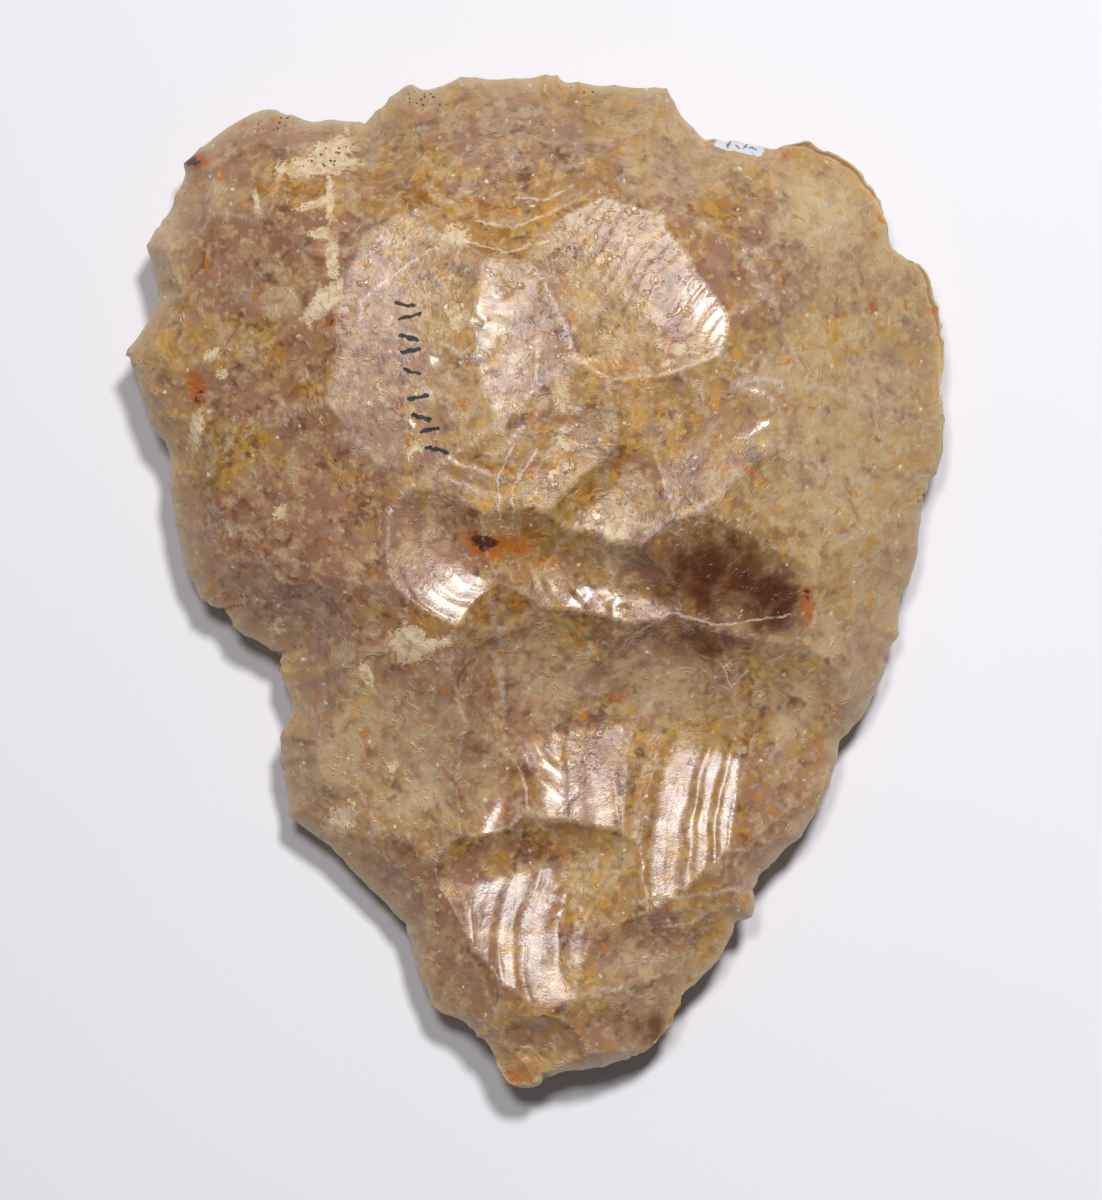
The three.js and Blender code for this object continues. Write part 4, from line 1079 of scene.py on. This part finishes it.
    # painted highlight: crushed ridges and crest lines are painted paler, as where they catch a little light
    broken = blotches(0.36, 0.6, 0.7, 3, 0.7)
    paint("crest", field["ridge"], broken, 0.2)
    paint("crest", times(field["crest"], scaled(broken, 0.8, 0.2)), 0.4)

    # the strokes are read at a place pushed about by noise
    group = strokeGroup()
    shaken = nodes.add("ShaderNodeVectorMath", {0: push, 1: (strokeUneven, strokeUneven, 0), 2: place},
                       operation="MULTIPLY_ADD")
    shaken = nodes.add("ShaderNodeVectorMath", {0: shaken.outputs[0], 1: (strokeUneven / 2, strokeUneven / 2, 0)},
                       operation="SUBTRACT").outputs[0]

    def strokes(name):
        # mask of a set of strokes: 1 up to half their width from the nearest, 0 from 0.7 of it
        gap = None
        for fromX, fromY, toX, toY in strokeSets[name]:
            ends = {"Place": shaken, "From": (fromX, fromY, 0), "To": (toX, toY, 0)}
            stroke = nodes.add("ShaderNodeGroup", node_tree=group)
            for key, value in ends.items():
                nodes.put(stroke.inputs[key], value)
            gap = stroke.outputs[0] if gap is None else nodes.math("MINIMUM", gap, stroke.outputs[0])
        width = strokeWidths[name]
        return times(opposite(step(gap, 0.5 * width, 0.7 * width)), field["upperFace"])

    # the paper label at the notch, its marks, fine lines and the pen strokes
    label, ink = strokes("label"), strokes("pen")
    paint("label", label)
    paint("ink", strokes("labelMarks"), 0.7)
    # painted highlight: fine lines along little ridges are painted pale, and so are the cracks among them
    paint("crest", times(strokes("fine"), blotches(0.34, 0.56, 1.1, 3, 0.6)), 0.4)
    paint("ink", ink)

    # finish: chalk is dull, some flake floors are polished, grain breaks the gloss up
    polish = step(field["polish"], 0.15, 0.75)
    matt = opposite(polish)
    glint = blotches(0.57, 0.67, 1.3, 3, 0.65, 0.6)
    gloss = nodes.math("MAXIMUM", polish, times(glint, 0.8))
    rough = scaled(noise(1.8, 3, 0.6), 0.16, flint["roughness"] - 0.08)
    rough = scaled(gloss, flint["polishedRoughness"] - flint["roughness"], rough)
    rough = nodes.chain("MAXIMUM", rough, times(chalkShare, flint["chalkRoughness"]),
                        times(nodes.math("MAXIMUM", ink, label), flint["inkRoughness"]))

    # relief, in millimetres: grain, hackles round the strike, bumps, glints, chalk and crests
    phase = times(plus(field["strike"], times(noise(1.2, 2), 0.7)), 2 * math.pi / flint["hackleSpacing"])
    relief = plus(
        times(noise(0.25, 2, 0.6), 0.012),
        times(nodes.math("SINE", phase), 0.0012),
        times(noise(1.1, 3, 0.6), scaled(matt, 0.06, 0.022)),
        times(glint, noise(0.8, 1), matt, 0.13),
        times(field["chalk"], noise(0.4, 2, 0.7), 0.1),
        times(field["crest"], 0.09),
    )
    bump = nodes.add("ShaderNodeBump", {"Strength": 1, "Distance": millimetre, "Height": relief})

    shader = nodes.add("ShaderNodeBsdfPrincipled", {
        "Base Color": base, "Roughness": rough, "IOR": 1.54, "Normal": bump.outputs[0],
        "Coat Weight": times(field["varnish"], opposite(ink), 0.5), "Coat Roughness": 0.12,
    })
    nodes.put(nodes.add("ShaderNodeOutputMaterial").inputs["Surface"], shader.outputs[0])
    return material


handAxe.data.materials.append(flintMaterial())
print("flint material made")


floor = {
    "size": 1.6, "colour": (0.86, 0.85, 0.893), "roughness": 0.6,
    # painted shade: the floor is painted darker on the left, as the lamps' light falls off there
    "leftPaintedShade": 0.9,  # how much of its tone is left on the left
    "shadeReach": 90,  # millimetres from the middle to where the shade ends, on both sides
    "shadeUneven": (60, 0.3),  # size and height of the noise in it
}


def floorPiece():
    # one square, its middle under the stone; painted shade makes it darker on the left, its tone rising smoothly to
    # the full tone on the right
    half = floor["size"] / 2
    corners = np.array([(-half, -half, 0), (half, -half, 0), (half, half, 0), (-half, half, 0)])
    piece = newMesh("floor", corners, np.array([(0, 1, 2, 3)]))
    material = bpy.data.materials.new("pale board")
    material.use_nodes = True
    material.node_tree.nodes.clear()
    nodes = Nodes(material.node_tree)
    place = inMillimetres(nodes)
    red, green, blue = floor["colour"]
    across = nodes.add("ShaderNodeSeparateXYZ", {0: place}).outputs[0]
    size, uneven = floor["shadeUneven"]
    reach, dim = floor["shadeReach"], floor["leftPaintedShade"]
    drift = nodes.plus(nodes.step(across, -reach, reach), nodes.scaled(nodes.noise(place, size), uneven, -uneven / 2))
    tone = nodes.mix(drift, colour(red * dim, green * dim, blue * dim), colour(red, green, blue))
    shader = nodes.add("ShaderNodeBsdfPrincipled", {"Base Color": tone, "Roughness": floor["roughness"]})
    nodes.put(nodes.add("ShaderNodeOutputMaterial").inputs["Surface"], shader.outputs[0])
    piece.data.materials.append(material)
    return piece


floorPiece()

lights = {
    # name: direction round from +x, angle from straight up, distance, size, power, colour
    "key": (70, 24, 1.0, 0.13, 6.8, (1, 0.99, 0.985)),
    "second": (110, 14.5, 1.1, 0.16, 3.8, (0.985, 0.99, 1)),
}
worldTone = (0.085, 0.083, 0.086)


def addLights():
    # round lamps on rays from the stone's middle, and an even grey all round
    for name, (azimuth, tilt, distance, size, power, tone) in lights.items():
        lamp = bpy.data.lights.new(name, "AREA")
        lamp.shape = "DISK"
        lamp.size = size
        lamp.energy = power
        lamp.color = tone
        holder = bpy.data.objects.new(name, lamp)
        flat = math.sin(math.radians(tilt))
        around = math.radians(azimuth)
        direction = Vector((flat * math.cos(around), flat * math.sin(around), math.cos(math.radians(tilt))))
        holder.location = direction * distance
        holder.rotation_euler = direction.to_track_quat("Z", "Y").to_euler()
        scene.collection.objects.link(holder)
    world = bpy.data.worlds.new("studio")
    world.use_nodes = True
    background = world.node_tree.nodes["Background"]
    background.inputs[0].default_value = colour(*worldTone)
    background.inputs[1].default_value = 1.0
    scene.world = world


addLights()

view = {"x": 1.6, "y": -2.1, "distance": 800, "frameHeight": 126, "sensor": 36}


def addCamera():
    # straight above, the tip pointing down; lens = sensor times distance over frame height
    camera = bpy.data.cameras.new("camera")
    camera.sensor_width = view["sensor"]
    camera.lens = view["sensor"] * view["distance"] / view["frameHeight"]
    camera.clip_start = 0.05
    camera.clip_end = 10
    holder = bpy.data.objects.new("camera", camera)
    height = view["distance"] + stone["edgeHeight"]
    holder.location = Vector((view["x"], view["y"], height)) * millimetre
    scene.collection.objects.link(holder)
    scene.camera = holder


addCamera()
scene.view_settings.view_transform = "Standard"
print("floor, lights and camera made")
